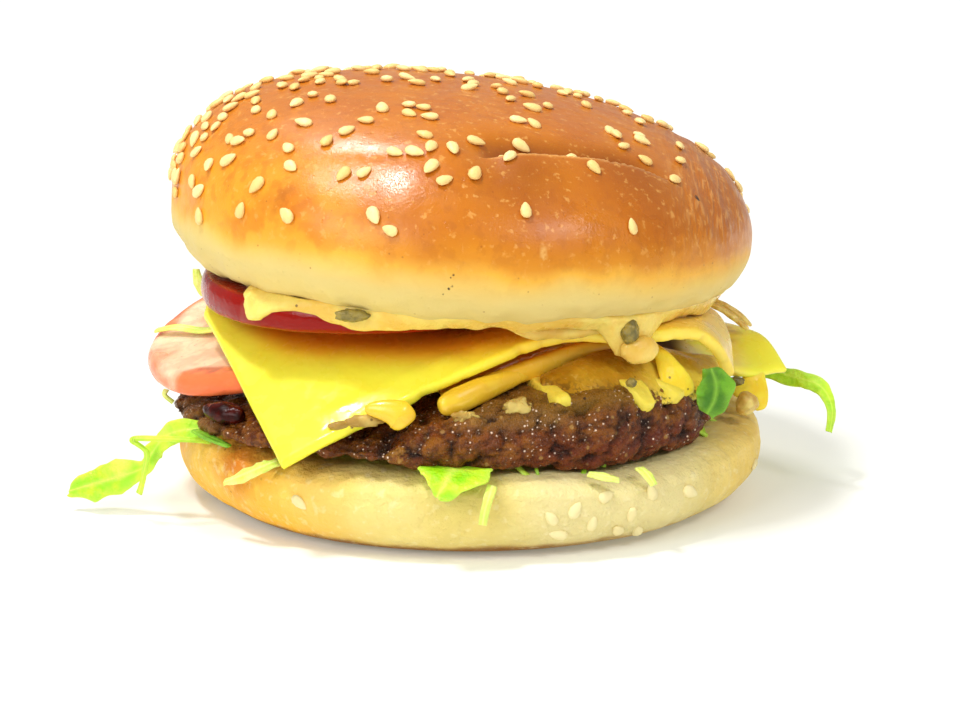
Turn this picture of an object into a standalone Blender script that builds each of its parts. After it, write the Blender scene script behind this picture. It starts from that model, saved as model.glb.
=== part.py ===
"""Cheeseburger with a seeded bun, a beef patty, two cheese slices, two tomato slices, lettuce, sauce,
gherkin and onion.

The origin is the centre of the bun heel's flat bottom. X runs to the right, Y to the back and Z up.
Sizes are in millimetres and become metres through MM where a mesh is made. The fillings are stacked as
layers: each one has an underside and a top that are functions of the plan position, and each keeps
GAP to the layer below it.
"""

import math

import bmesh
import bpy
import numpy as np

MM = 0.001
GAP = 0.3

# Bun heel: a low round loaf with a flat bottom, a full side and a cut top.
HEEL_RADIUS = 55.2
HEEL_BASE_RADIUS = 44.0
HEEL_CUT_RADIUS = 47.0
HEEL_WIDEST = 9.8
HEEL_SHOULDER = 11.6
HEEL_TOP = 15.0
HEEL_DENT = 1.6
HEEL_DENT_PLACE = (29.0, -43.0)
HEEL_DENT_SPREAD = 17.0

# Bun crown: a lopsided dome over a rounded lip, tilted down to the right and the front.
CROWN_RADIUS = 54.4
CROWN_RISE = 26.0
CROWN_LIP_DROP = 8.3
CROWN_LIP_INSET = 7.4
CROWN_SUMMIT_SHIFT = -9.0
CROWN_PLAN_POWER = 2.12
CROWN_SIDE_POWER = 2.44
CROWN_CENTRE = (-1.3, 1.9, 50.4)
CROWN_TILT_FRONT = math.radians(2.35)
CROWN_TILT_RIGHT = math.radians(3.82)
CROWN_RECESS = 1.3
CROWN_RECESS_RADIUS = 42.0

# Lettuce bed: a thin uneven heap between heel and patty.
BED_RADIUS = 39.0
BED_TOP = HEEL_TOP + 2.2

# Patty: domed, thicker at its front right, with a craggy edge.
PATTY_CENTRE = (-4.0, -1.0)
PATTY_RADIUS = 51.4
PATTY_UNDER = BED_TOP + GAP
PATTY_EDGE_SAG = 3.2
PATTY_SAG_PLACE = (30.0, -38.0)
PATTY_SAG_SPREAD = 32.0
PATTY_TOP = 28.6
PATTY_TOP_SLOPE = 0.03
PATTY_DOME_POWER = 2.2
PATTY_THIN_DROP = 7.6
PATTY_THICK_SAVING = 5.5
PATTY_THICK_DIRECTION = math.radians(-62)
PATTY_THICK_SPREAD = math.radians(38)
PATTY_PRESS = 2.1
PATTY_PRESS_PLACE = (-14.0, -45.0)
PATTY_PRESS_SPREAD = 11.0

# Cheese slices: square, cut with straight edges.
CHEESE_THICKNESS = 2.2
LOWER_CHEESE_CORNER = (-11.5, -52.5)
LOWER_CHEESE_SIDE = 85.0
LOWER_CHEESE_TURN = math.radians(33)
FRONT_LIFT = 1.6
FRONT_LIFT_PLACE = (24.0, -28.0)
RIGHT_LIFT = 5.4
RIGHT_LIFT_PLACE = (53.0, 8.0)
UPPER_CHEESE_CORNER = (-33.4, -56.5)
UPPER_CHEESE_SIDE = 90.0
UPPER_CHEESE_TURN = math.radians(20)
UPPER_CHEESE_LEFT_TURN = math.radians(19)
UPPER_CHEESE_BACK_TUCK = 43.0
UPPER_CHEESE_TOP = 36.0
UPPER_CHEESE_SLOPE = -0.05
UPPER_CHEESE_LEVEL_FROM = -28.0
ARCH_CENTRE = (35.0, -25.0)
ARCH_SPREAD = 10.0
ARCH_RISE = 1.2

# Bends of the upper cheese: the way each one runs in plan, how far from the patty's centre it starts,
# its radius and its steepest slope.
FRONT_BEND = {"way": (-0.4067, -0.9135), "start": 22.0, "radius": 32.0, "most": math.radians(40)}
RIGHT_BEND = {"way": (0.97, -0.243), "start": 48.0, "radius": 7.0, "most": math.radians(70)}
BACK_BEND = {"way": (0.1, 0.995), "start": 45.0, "radius": 14.0, "most": math.radians(45)}

# Tomato slices.
LOWER_TOMATO_CENTRE = (-28.5, -1.5)
LOWER_TOMATO_RADIUS = 31.8
LOWER_TOMATO_THICKNESS = 4.2
LOWER_TOMATO_UNDER = 29.9
LOWER_TOMATO_PIVOT = (-28.0, -8.5)
LOWER_TOMATO_FALL = (0.24, 0.17)
UPPER_TOMATO_CENTRE = (-19.0, -14.0)
UPPER_TOMATO_RADIUS = 29.5
UPPER_TOMATO_UNDER = 37.8
UPPER_TOMATO_TOP = 41.15

# Sauce between the upper cheese, the upper tomato and the crown.
SAUCE_RADIUS = 43.5
SAUCE_RIGHT_BULGE = 3.0

# Leaves, shreds and strands.
LEAF_THICKNESS = 0.8
SHRED_THICKNESS = 0.7
ONION_THICKNESS = 1.1

BUN_COLOUR = (0.55, 0.24, 0.05)
CRUMB_COLOUR = (0.85, 0.68, 0.36)
LETTUCE_COLOUR = (0.28, 0.52, 0.04)
PALE_LETTUCE_COLOUR = (0.62, 0.75, 0.25)
PATTY_COLOUR = (0.13, 0.045, 0.02)
CHEESE_COLOUR = (0.9, 0.58, 0.06)
TOMATO_COLOUR = (0.6, 0.06, 0.02)
SAUCE_COLOUR = (0.75, 0.45, 0.12)
GHERKIN_COLOUR = (0.16, 0.15, 0.04)
ONION_COLOUR = (0.72, 0.55, 0.28)


def clear_scene():
    """Removes whatever the scene holds."""
    for thing in list(bpy.data.objects):
        bpy.data.objects.remove(thing, do_unlink=True)


def make_material(name, colour, roughness):
    """A plain Principled material."""
    material = bpy.data.materials.new(name)
    material.use_nodes = True
    shader = material.node_tree.nodes["Principled BSDF"]
    shader.inputs["Base Color"].default_value = (*colour, 1.0)
    shader.inputs["Roughness"].default_value = roughness
    shader.inputs["Metallic"].default_value = 0.0
    return material


def smooth_step(value):
    """0 up to value 0, 1 from value 1, and a smooth rise between."""
    t = np.clip(value, 0.0, 1.0)
    return t * t * (3.0 - 2.0 * t)


def hump(x, y, centre, spread):
    """A smooth round rise: 1 over the centre, falling off over the spread."""
    return np.exp(-((x - centre[0]) ** 2 + (y - centre[1]) ** 2) / spread**2)


def wobble(angle, waves, seed):
    """An uneven closed curve, from -1 to 1: a few cosine waves with seeded phases."""
    rng = np.random.default_rng(seed)
    total = np.zeros_like(angle)
    for count in waves:
        total += np.cos(count * angle + rng.uniform(0.0, 2.0 * np.pi))
    return total / len(waves)


def finish_object(mesh, name, material):
    """Links the mesh as a smooth-shaded object."""
    mesh.materials.append(material)
    mesh.shade_smooth()
    thing = bpy.data.objects.new(name, mesh)
    bpy.context.scene.collection.objects.link(thing)
    return thing


def ring_body(name, rings, bottom, top, material):
    """A closed body from rings of equal count, lowest first, each anticlockwise from above, with a
    point at its bottom and one at its top."""
    form = bmesh.new()
    rows = [[form.verts.new(point * MM) for point in ring] for ring in rings]
    low = form.verts.new(np.array(bottom) * MM)
    high = form.verts.new(np.array(top) * MM)
    count = len(rows[0])
    for i in range(count):
        j = (i + 1) % count
        form.faces.new((low, rows[0][j], rows[0][i]))
        form.faces.new((high, rows[-1][i], rows[-1][j]))
        for lower, upper in zip(rows[:-1], rows[1:]):
            form.faces.new((lower[i], lower[j], upper[j], upper[i]))
    mesh = bpy.data.meshes.new(name)
    form.to_mesh(mesh)
    form.free()
    return finish_object(mesh, name, material)


def sheet_body(name, grid, thickness, material):
    """A sheet whose upper face is the grid of points (rows by columns), thickened downwards."""
    rows, columns = grid.shape[:2]
    form = bmesh.new()
    verts = [[form.verts.new(grid[i, j] * MM) for j in range(columns)] for i in range(rows)]
    for i in range(rows - 1):
        for j in range(columns - 1):
            form.faces.new((verts[i][j], verts[i + 1][j], verts[i + 1][j + 1], verts[i][j + 1]))
    mesh = bpy.data.meshes.new(name)
    form.to_mesh(mesh)
    form.free()
    thing = finish_object(mesh, name, material)
    wall = thing.modifiers.new("Thickness", "SOLIDIFY")
    wall.thickness = thickness * MM
    wall.offset = -1.0
    return thing


def layer_rings(centre, outline, under, top, edge, steps, around):
    """Rings of a layer that fills its outline between two height functions. The outline is a radius
    for each angle. Over the outer share named edge, top and underside close on each other along a
    quarter of an ellipse."""
    angle = np.linspace(0.0, 2.0 * np.pi, around, endpoint=False)
    radius = outline(angle)
    flat = (1.0 - edge) * np.arange(1, steps + 1) / steps
    turn = np.radians([30.0, 60.0, 90.0])
    shares = np.concatenate([flat, 1.0 - edge + edge * np.sin(turn)])
    openings = np.concatenate([np.ones(steps), np.cos(turn)])

    def ring(share, opening, side):
        x = centre[0] + share * radius * np.cos(angle)
        y = centre[1] + share * radius * np.sin(angle)
        low = under(x, y)
        high = top(x, y)
        z = (low + high) / 2.0 + side * opening * (high - low) / 2.0
        return np.stack([x, y, z], axis=-1)

    lower = [ring(share, opening, -1.0) for share, opening in zip(shares, openings)]
    upper = [ring(share, opening, 1.0) for share, opening in zip(shares[:-1], openings[:-1])]
    return lower + upper[::-1]


def layer_body(name, centre, outline, under, top, material, edge=0.06, steps=6, around=36):
    """A filling's layer as one closed body."""
    rings = layer_rings(centre, outline, under, top, edge, steps, around)
    x, y = np.array(centre[0]), np.array(centre[1])
    return ring_body(name, rings, (x, y, under(x, y)), (x, y, top(x, y)), material)


def bend_down(distance, start, radius, most):
    """A sheet that runs level to start, then turns down round a cylinder until it slopes at the angle
    most, then runs straight. Returns how far out a point lies in plan and how far it has sunk."""
    turn = np.clip((distance - start) / radius, 0.0, most)
    beyond = np.maximum(distance - start - radius * most, 0.0)
    out = np.minimum(distance, start) + radius * np.sin(turn) + beyond * math.cos(most)
    sunk = radius * (1.0 - np.cos(turn)) + beyond * math.sin(most)
    return out, sunk


def patty_top(x, y):
    """Height of the patty's dome. It falls with a power of the distance from the centre, less so
    towards the thick side, and is pressed in where the upper cheese hangs over it."""
    dx = x - PATTY_CENTRE[0]
    dy = y - PATTY_CENTRE[1]
    turn = np.angle(np.exp(1j * (np.arctan2(dy, dx) - PATTY_THICK_DIRECTION)))
    drop = PATTY_THIN_DROP - PATTY_THICK_SAVING * np.exp(-((turn / PATTY_THICK_SPREAD) ** 2))
    share = np.hypot(dx, dy) / 50.0
    press = PATTY_PRESS * hump(x, y, PATTY_PRESS_PLACE, PATTY_PRESS_SPREAD)
    return PATTY_TOP + PATTY_TOP_SLOPE * x - drop * share**PATTY_DOME_POWER - press


def patty_under(x, y):
    """Height of the patty's underside, whose rim sags past the lettuce bed at the front right."""
    dx = x - PATTY_CENTRE[0]
    dy = y - PATTY_CENTRE[1]
    sag = PATTY_EDGE_SAG * hump(dx, dy, PATTY_SAG_PLACE, PATTY_SAG_SPREAD)
    return PATTY_UNDER - sag * smooth_step((np.hypot(dx, dy) - 44.0) / 7.0)


def patty_crag(x, y):
    """Dips in the minced meat, in millimetres."""
    return 0.3 * (1.0 + np.sin(0.55 * x + 1.0) * np.sin(0.6 * y))


def lower_cheese_top(x, y):
    """Height of the lower cheese: it lies on the patty's dome, its front edge lifted a little and its
    right corner held up."""
    lift = FRONT_LIFT * hump(x, y, FRONT_LIFT_PLACE, 14.0) + RIGHT_LIFT * hump(x, y, RIGHT_LIFT_PLACE, 14.0)
    return patty_top(x, y) + GAP + CHEESE_THICKNESS + 0.15 + lift


def upper_cheese_level(x, y):
    """Height of the upper cheese's top face before it bends: level at its left, then a slope to the
    right with a low arch."""
    slope = UPPER_CHEESE_SLOPE * np.maximum(x, UPPER_CHEESE_LEVEL_FROM)
    return UPPER_CHEESE_TOP + slope + ARCH_RISE * hump(x, y, ARCH_CENTRE, ARCH_SPREAD)


def upper_cheese_fall(x, y):
    """How far the upper cheese's hanging front corner has sunk at a plan position."""
    way = FRONT_BEND["way"]
    out = (x - PATTY_CENTRE[0]) * way[0] + (y - PATTY_CENTRE[1]) * way[1] - FRONT_BEND["start"]
    round_end = FRONT_BEND["radius"] * math.sin(FRONT_BEND["most"])
    turn = np.arcsin(np.clip(out, 0.0, round_end) / FRONT_BEND["radius"])
    straight = np.maximum(out - round_end, 0.0) * math.tan(FRONT_BEND["most"])
    return FRONT_BEND["radius"] * (1.0 - np.cos(turn)) + straight


def crown_lip(x, y):
    """Height of the plane through the crown's lip."""
    return (
        CROWN_CENTRE[2]
        - CROWN_LIP_DROP
        - math.tan(CROWN_TILT_RIGHT) * (x + 1.85)
        + math.tan(CROWN_TILT_FRONT) * (y - 2.2)
    )


def lower_tomato_under(x, y):
    """Underside of the lower tomato: level at its right, falling to the front left past the pivot, and
    never below the cheese."""
    left = LOWER_TOMATO_PIVOT[0] - x
    front = LOWER_TOMATO_PIVOT[1] - y
    fall = LOWER_TOMATO_FALL[0] * left + LOWER_TOMATO_FALL[1] * front
    tilted = LOWER_TOMATO_UNDER - 0.5 * (fall + np.sqrt(fall**2 + 1.0))
    return np.maximum(tilted, lower_cheese_top(x, y) + GAP)


def lower_tomato_top(x, y):
    """Top of the lower tomato, pressed down by the upper cheese."""
    free = lower_tomato_under(x, y) + LOWER_TOMATO_THICKNESS
    ceiling = upper_cheese_level(x, y) - 1.08 * upper_cheese_fall(x, y) - CHEESE_THICKNESS - GAP - 0.2
    return np.maximum(np.minimum(free, ceiling), lower_tomato_under(x, y) + 1.5)


def upper_tomato_under(x, y):
    """Underside of the upper tomato."""
    return UPPER_TOMATO_UNDER + 0.02 * (y - UPPER_TOMATO_CENTRE[1]) + 0.0 * x


def upper_tomato_top(x, y):
    """Top of the upper tomato, a wedge that is thicker at its left."""
    return UPPER_TOMATO_TOP - 0.055 * x + 0.03 * (y - UPPER_TOMATO_CENTRE[1])


def upper_tomato_outline(angle):
    """Radius of the upper tomato."""
    return UPPER_TOMATO_RADIUS + 0.5 * wobble(angle, (2, 3, 5), 21)


def bun_heel(material):
    """The heel: rings up a rounded side, from the flat base to the cut top."""
    angle = np.linspace(0.0, 2.0 * np.pi, 36, endpoint=False)
    uneven = wobble(angle, (2, 3, 5), 3)
    side = np.radians(np.linspace(0.0, 90.0, 6))
    profile = [(HEEL_BASE_RADIUS * 0.5, 0.0)]
    for turn in side:
        reach = HEEL_BASE_RADIUS + (HEEL_RADIUS - HEEL_BASE_RADIUS) * math.sin(turn)
        profile.append((reach, HEEL_WIDEST * (1.0 - math.cos(turn))))
    for turn in side:
        reach = HEEL_CUT_RADIUS + (HEEL_RADIUS - 0.4 - HEEL_CUT_RADIUS) * math.cos(turn)
        profile.append((reach, HEEL_SHOULDER + (HEEL_TOP - HEEL_SHOULDER) * math.sin(turn)))
    profile.append((HEEL_CUT_RADIUS * 0.5, HEEL_TOP))
    rings = []
    for radius, height in profile:
        reach = radius + 0.6 * uneven * smooth_step(height / HEEL_WIDEST)
        x = reach * np.cos(angle)
        y = reach * np.sin(angle)
        dent = HEEL_DENT * hump(x, y, HEEL_DENT_PLACE, HEEL_DENT_SPREAD) * smooth_step(height / HEEL_TOP)
        rings.append(np.stack([x, y, height - dent], axis=-1))
    return ring_body("bun_heel", rings, (0.0, 0.0, 0.0), (0.0, 0.0, HEEL_TOP), material)


def bun_crown(material):
    """The crown: a recessed underside, a lip that is a quarter ellipse, and a dome whose section is a
    superellipse shifted to the left as it rises."""

    def level_ring(reach, shift, height):
        x = reach * np.cos(angle) + shift
        return np.stack([x, reach * np.sin(angle), np.full_like(angle, height)], axis=-1)

    angle = np.linspace(0.0, 2.0 * np.pi, 40, endpoint=False)
    lip = CROWN_RADIUS - CROWN_LIP_INSET
    profile = [
        (0.5 * CROWN_RECESS_RADIUS, CROWN_RECESS - CROWN_LIP_DROP),
        (CROWN_RECESS_RADIUS, CROWN_RECESS - CROWN_LIP_DROP),
        (0.5 * (CROWN_RECESS_RADIUS + lip), 0.35 * CROWN_RECESS - CROWN_LIP_DROP),
    ]
    for turn in np.radians(np.linspace(90.0, 18.0, 5)):
        reach = CROWN_RADIUS - CROWN_LIP_INSET * (1.0 - math.cos(turn))
        profile.append((reach, -CROWN_LIP_DROP * math.sin(turn)))
    rise = []
    for turn in np.radians(np.linspace(0.0, 86.0, 12)):
        share = math.cos(turn) ** (2.0 / CROWN_PLAN_POWER)
        rise.append((CROWN_RADIUS * share, math.sin(turn) ** (2.0 / CROWN_SIDE_POWER)))
    uneven = wobble(angle, (2, 3, 4), 5)
    rings = []
    for radius, height in profile:
        reach = radius + 0.5 * uneven * smooth_step((radius - 40.0) / 10.0)
        rings.append(level_ring(reach, 0.0, height))
    for radius, share in rise:
        reach = radius + 0.5 * uneven * (1.0 - share)
        rings.append(level_ring(reach, CROWN_SUMMIT_SHIFT * share**2, CROWN_RISE * share))
    crown = ring_body(
        "bun_crown",
        rings,
        (0.0, 0.0, CROWN_RECESS - CROWN_LIP_DROP),
        (CROWN_SUMMIT_SHIFT, 0.0, CROWN_RISE),
        material,
    )
    crown.location = [value * MM for value in CROWN_CENTRE]
    crown.rotation_euler = (CROWN_TILT_FRONT, CROWN_TILT_RIGHT, 0.0)
    return crown


def lettuce_bed(material):
    """The heap of shredded lettuce, out to its uneven outline."""

    def outline(angle):
        return BED_RADIUS + 1.6 * wobble(angle, (5, 7, 9), 11)

    def under(x, y):
        return HEEL_TOP + GAP + 0.0 * x

    def top(x, y):
        return BED_TOP - 0.15 * (1.0 + np.sin(0.5 * x) * np.sin(0.45 * y))

    return layer_body("lettuce_bed", (-2.0, 0.0), outline, under, top, material, steps=2, around=20)


def patty(material):
    """The patty, with a craggy edge."""

    def outline(angle):
        rough = 0.7 * wobble(angle, (2, 3, 7), 13) + 0.7 * wobble(angle, (11, 14, 17), 14)
        bulge = 1.8 * np.exp(-(((angle - math.radians(312)) / math.radians(26)) ** 2))
        return PATTY_RADIUS + rough + bulge

    def top(x, y):
        return patty_top(x, y) - patty_crag(x, y)

    return layer_body(
        "patty",
        PATTY_CENTRE,
        outline,
        patty_under,
        top,
        material,
        edge=0.08,
        steps=4,
        around=46,
    )


def lower_cheese(material):
    """The lower slice: a square whose upper face follows the patty's dome."""
    share = np.linspace(0.0, 1.0, 13) * LOWER_CHEESE_SIDE
    along, across = np.meshgrid(share, share, indexing="ij")
    turn = LOWER_CHEESE_TURN
    x = LOWER_CHEESE_CORNER[0] + along * math.cos(turn) - across * math.sin(turn)
    y = LOWER_CHEESE_CORNER[1] + along * math.sin(turn) + across * math.cos(turn)
    grid = np.stack([x, y, lower_cheese_top(x, y)], axis=-1)
    return sheet_body("cheese_lower", grid, CHEESE_THICKNESS, material)


def upper_cheese(material):
    """The upper slice: its front corner hangs and its right and back corners fold down, each round a
    cylinder, so that the slice keeps its size. Its left edge is tucked in towards the back."""
    share = np.linspace(0.0, 1.0, 15) * UPPER_CHEESE_SIDE
    along, across = np.meshgrid(share, share, indexing="ij")
    tuck = np.maximum(across - UPPER_CHEESE_BACK_TUCK, 0.0) * (1.0 - along / UPPER_CHEESE_SIDE)
    leftward = (across - tuck) * math.sin(UPPER_CHEESE_LEFT_TURN)
    x = UPPER_CHEESE_CORNER[0] + along * math.cos(UPPER_CHEESE_TURN) - leftward
    backward = across * math.cos(UPPER_CHEESE_LEFT_TURN)
    y = UPPER_CHEESE_CORNER[1] + along * math.sin(UPPER_CHEESE_TURN) + backward
    z = upper_cheese_level(x, y)
    for bend in (FRONT_BEND, RIGHT_BEND, BACK_BEND):
        way = bend["way"]
        distance = (x - PATTY_CENTRE[0]) * way[0] + (y - PATTY_CENTRE[1]) * way[1]
        out, sunk = bend_down(distance, bend["start"], bend["radius"], bend["most"])
        x = x + (out - distance) * way[0]
        y = y + (out - distance) * way[1]
        z = z - sunk
    grid = np.stack([x, y, z], axis=-1)
    return sheet_body("cheese_upper", grid, CHEESE_THICKNESS, material)


def lower_tomato(material):
    """The lower slice, hanging over the patty's left edge."""

    def outline(angle):
        return LOWER_TOMATO_RADIUS + 0.5 * wobble(angle, (2, 3, 5), 17)

    return layer_body(
        "tomato_lower",
        LOWER_TOMATO_CENTRE,
        outline,
        lower_tomato_under,
        lower_tomato_top,
        material,
        edge=0.05,
        steps=4,
        around=32,
    )


def upper_tomato(material):
    """The upper slice, between the upper cheese and the crown."""
    return layer_body(
        "tomato_upper",
        UPPER_TOMATO_CENTRE,
        upper_tomato_outline,
        upper_tomato_under,
        upper_tomato_top,
        material,
        edge=0.05,
        steps=4,
        around=32,
    )


def sauce(material):
    """The sauce layer: a film over the upper tomato that thickens to its right, where it lies on the
    upper cheese. Its outline is a circle under the crown's lip, seen from the tomato's centre."""
    centre = UPPER_TOMATO_CENTRE

    def outline(angle):
        way = np.stack([np.cos(angle), np.sin(angle)], axis=-1)
        offset = np.array([centre[0] + 1.0, centre[1] - 1.0])
        along = way @ offset
        reach = SAUCE_RADIUS + SAUCE_RIGHT_BULGE * np.clip(np.cos(angle), 0.0, 1.0) ** 2
        rough = 0.6 * (1.0 + wobble(angle, (6, 9, 13), 23))
        return -along + np.sqrt(along**2 + reach**2 - offset @ offset) - rough

    def under(x, y):
        beyond = np.hypot(x - centre[0], y - centre[1]) - UPPER_TOMATO_RADIUS
        left = 1.0 - smooth_step((beyond - 6.2) / 5.0)
        cheese = upper_cheese_level(x, y) + GAP + 0.1
        return cheese + (upper_tomato_top(x, y) + GAP - cheese) * left

    def top(x, y):
        reach = np.hypot(x - CROWN_CENTRE[0], y - CROWN_CENTRE[1])
        recess = CROWN_RECESS * (1.0 - smooth_step((reach - CROWN_RECESS_RADIUS + 3.0) / 4.0))
        return crown_lip(x, y) + recess - GAP - 0.1

    return layer_body("sauce", centre, outline, under, top, material, edge=0.05, steps=4, around=30)


def path_through(points, count):
    """Points spaced along a smooth line through the given ones (Catmull-Rom)."""
    ends = np.array([points[0], *points, points[-1]], float)
    stations = np.linspace(0.0, len(points) - 1.0, count)
    index = np.minimum(stations.astype(int), len(points) - 2)
    t = (stations - index)[:, None]
    p0, p1, p2, p3 = (ends[index + k] for k in range(4))
    return 0.5 * (
        2.0 * p1 + (p2 - p0) * t + (2.0 * p0 - 5.0 * p1 + 4.0 * p2 - p3) * t**2
        + (3.0 * p1 - p0 - 3.0 * p2 + p3) * t**3
    )


def ribbon(name, points, widths, facing, material, thickness=SHRED_THICKNESS, curl=0.1, count=9):
    """A leaf or shred: a strip along a smooth line. Its width and the way its face looks are read from
    widths and facing along its length, and curl raises its middle by that share of its width."""
    line = path_through(points, count)
    step = np.gradient(line, axis=0)
    step /= np.linalg.norm(step, axis=1, keepdims=True)
    station = np.linspace(0.0, 1.0, count)
    ways = np.array(facing, float)
    way = [np.interp(station, np.linspace(0.0, 1.0, len(ways)), ways[:, axis]) for axis in range(3)]
    side = np.cross(np.stack(way, axis=1), step)
    side /= np.linalg.norm(side, axis=1, keepdims=True)
    face = np.cross(step, side)
    width = np.interp(station, np.linspace(0.0, 1.0, len(widths)), widths)[:, None]
    columns = []
    for share in (-0.5, 0.0, 0.5):
        columns.append(line + side * width * share + face * width * curl * (0.5 - 2.0 * share**2))
    grid = np.stack(columns, axis=1)
    return sheet_body(name, grid, thickness, material)


def pebble(name, centre, half, turn, material):
    """A small rounded chunk: an ellipsoid with its half sizes, turned about the vertical."""
    angle = np.linspace(0.0, 2.0 * np.pi, 12, endpoint=False)
    uneven = 1.0 + 0.08 * wobble(angle, (2, 3), len(name))
    rings = []
    for rise in np.radians([-60.0, -30.0, 0.0, 30.0, 60.0]):
        x = half[0] * math.cos(rise) * np.cos(angle) * uneven
        y = half[1] * math.cos(rise) * np.sin(angle) * uneven
        z = np.full_like(angle, half[2] * math.sin(rise))
        rings.append(
            np.stack(
                [
                    centre[0] + x * math.cos(turn) - y * math.sin(turn),
                    centre[1] + x * math.sin(turn) + y * math.cos(turn),
                    centre[2] + z,
                ],
                axis=-1,
            )
        )
    low = (centre[0], centre[1], centre[2] - half[2])
    high = (centre[0], centre[1], centre[2] + half[2])
    return ring_body(name, rings, low, high, material)


# Each leaf or shred: the points its middle line passes through, its widths along the line, the way its
# face looks, its curl and how many stations its line has.
UP = ((0.0, 0.0, 1.0),)
LEAVES = {
    "lettuce_leaf_left": (
        [
            (-44.0, -24.5, 16.0),
            (-48.5, -26.5, 15.9),
            (-54.0, -27.0, 14.6),
            (-57.8, -25.0, 10.4),
            (-63.5, -23.0, 7.0),
            (-73.0, -22.0, 3.6),
        ],
        (4.5, 6.5, 5.0, 4.0, 5.4, 1.2),
        ((0.0, -0.1, 1.0), (-0.2, -0.6, 1.0), (-0.3, -0.6, 1.0), (-0.3, -0.6, 1.0)),
        0.04,
        14,
    ),
    "lettuce_leaf_front": (
        [(-2.0, -45.5, 16.1), (-2.4, -51.2, 15.7), (-3.6, -55.8, 15.0), (-5.4, -57.6, 13.3)],
        (12.5, 14.0, 9.0, 1.4),
        ((0.0, -0.1, 1.0), (0.0, -0.5, 1.0)),
        0.02,
        8,
    ),
    "lettuce_leaf_right": (
        [(44.4, -31.6, 27.2), (44.4, -32.6, 24.0), (42.8, -33.4, 20.8)],
        (5.6, 8.0, 3.4),
        ((0.2, -1.0, 0.2),),
        0.1,
        6,
    ),
}
GREEN_SHREDS = {
    "lettuce_strand_left": (
        [
            (-45.5, -30.0, 15.4),
            (-54.0, -33.0, 16.6),
            (-59.4, -32.0, 16.2),
            (-57.0, -31.5, 13.6),
            (-58.0, -30.0, 8.8),
            (-59.2, -28.0, 5.0),
        ],
        (1.3, 1.1, 1.2, 1.1, 1.1, 1.3),
        ((-0.2, -1.0, 0.3),),
        0.1,
        14,
    ),
    "lettuce_shred_dark": (
        [(-47.4, -31.0, 17.3), (-43.6, -35.4, 16.9), (-38.6, -39.2, 16.0)],
        (1.4, 2.4, 1.4),
        UP,
        0.0,
        5,
    ),
    "lettuce_shred_right": (
        [
            (50.5, 4.0, 16.2),
            (57.0, 6.0, 16.4),
            (63.0, 4.5, 18.4),
            (67.2, 0.0, 18.4),
            (68.6, -3.0, 15.2),
            (68.0, -5.0, 10.6),
        ],
        (2.6, 3.4, 4.0, 3.6, 2.6, 1.2),
        ((0.2, -1.0, 0.5),),
        0.1,
        14,
    ),
}
PALE_SHREDS = {
    "lettuce_shred_left_front": (
        [(-30.5, -41, 15.8), (-34.5, -44.6, 15.0), (-38.8, -43, 12.8), (-42.6, -39.4, 10.4)],
        (2.2, 2.6, 2.8, 1.0),
        ((-0.5, -0.6, 0.6),),
        0.05,
        7,
    ),
    "lettuce_shred_front": (
        [(4.0, -54.8, 14.4), (3.4, -56.8, 12.9), (2.7, -57.0, 10.6), (2.3, -57.0, 8.0)],
        (1.8, 1.8, 1.7, 1.5),
        ((0.0, -1.0, 0.4),),
        0.05,
        7,
    ),
    "lettuce_shred_mid_1": (
        [(20.0, -49.4, 15.0), (22.6, -50.4, 14.8), (25.4, -50.0, 14.0)],
        (1.2, 1.8, 1.2),
        ((0.2, -0.6, 1.0),),
        0.0,
        5,
    ),
    "lettuce_shred_mid_2": (
        [(29.0, -45.4, 15.0), (30.2, -47.2, 14.2), (31.4, -48.4, 12.6)],
        (1.8, 2.0, 1.6),
        ((0.4, -0.6, 0.7),),
        0.0,
        5,
    ),
    "lettuce_shred_back": (
        [(-51.0, 6, 34.6), (-52.0, 5.5, 37.2), (-52.4, 5, 40.0)],
        (1.4, 2.6, 1.6),
        ((-0.4, -1.0, 0.0),),
        0.05,
        5,
    ),
    "lettuce_shred_tomato": (
        [(-59.6, 0.4, 29.3), (-55.6, -2, 30.4), (-50.0, -6, 30.6), (-46.0, -8, 31.6)],
        (1.6, 2.4, 2.4, 1.6),
        ((-0.2, -0.2, 1.0),),
        0.05,
        8,
    ),
    "lettuce_strand_tomato": (
        [(-55.6, -15, 21.3), (-56.0, -15.4, 20.2), (-54.4, -15.6, 18.8)],
        (1.0, 1.0, 1.0),
        ((-0.3, -1.0, 0.0),),
        0.0,
        5,
    ),
}
CHUNKS = {
    "gherkin_front": ((-20.0, -45.9, 40.2), (3.0, 1.1, 1.2), 0.0),
    "gherkin_right": ((27.3, -43.2, 37.1), (2.4, 1.4, 2.4), 0.5),
    "onion_piece": ((50.6, -16.2, 18.9), (2.1, 1.9, 2.1), 0.3),
}
ONION_START = (45.6, -1.0, 35.7)
ONION_RUN = 9.6
ONION_FALL = 7.7
ONION_SPACING = 3.4


def lettuce_pieces(green, pale):
    """The leaves and shreds that reach out of the burger."""
    for pieces, thickness, material in (
        (LEAVES, LEAF_THICKNESS, green),
        (GREEN_SHREDS, SHRED_THICKNESS, green),
        (PALE_SHREDS, SHRED_THICKNESS, pale),
    ):
        for name, (points, widths, facing, curl, count) in pieces.items():
            ribbon(name, points, widths, facing, material, thickness, curl, count)


def onion_strands(material):
    """Three strands of onion that slide off the upper cheese's right edge."""
    for index in range(3):
        y = ONION_START[1] + ONION_SPACING * (index - 1)
        shift = 1.2 * math.sin(2.1 * index)
        points = [
            (ONION_START[0] + shift + ONION_RUN * t, y - 1.2 * t, ONION_START[2] - ONION_FALL * t**1.7)
            for t in (0.0, 0.35, 0.7, 1.0)
        ]
        widths = (1.0, 1.7, 1.7, 0.9)
        ribbon(f"onion_strand_{index + 1}", points, widths, UP, material, ONION_THICKNESS, 0.1, 7)


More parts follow.
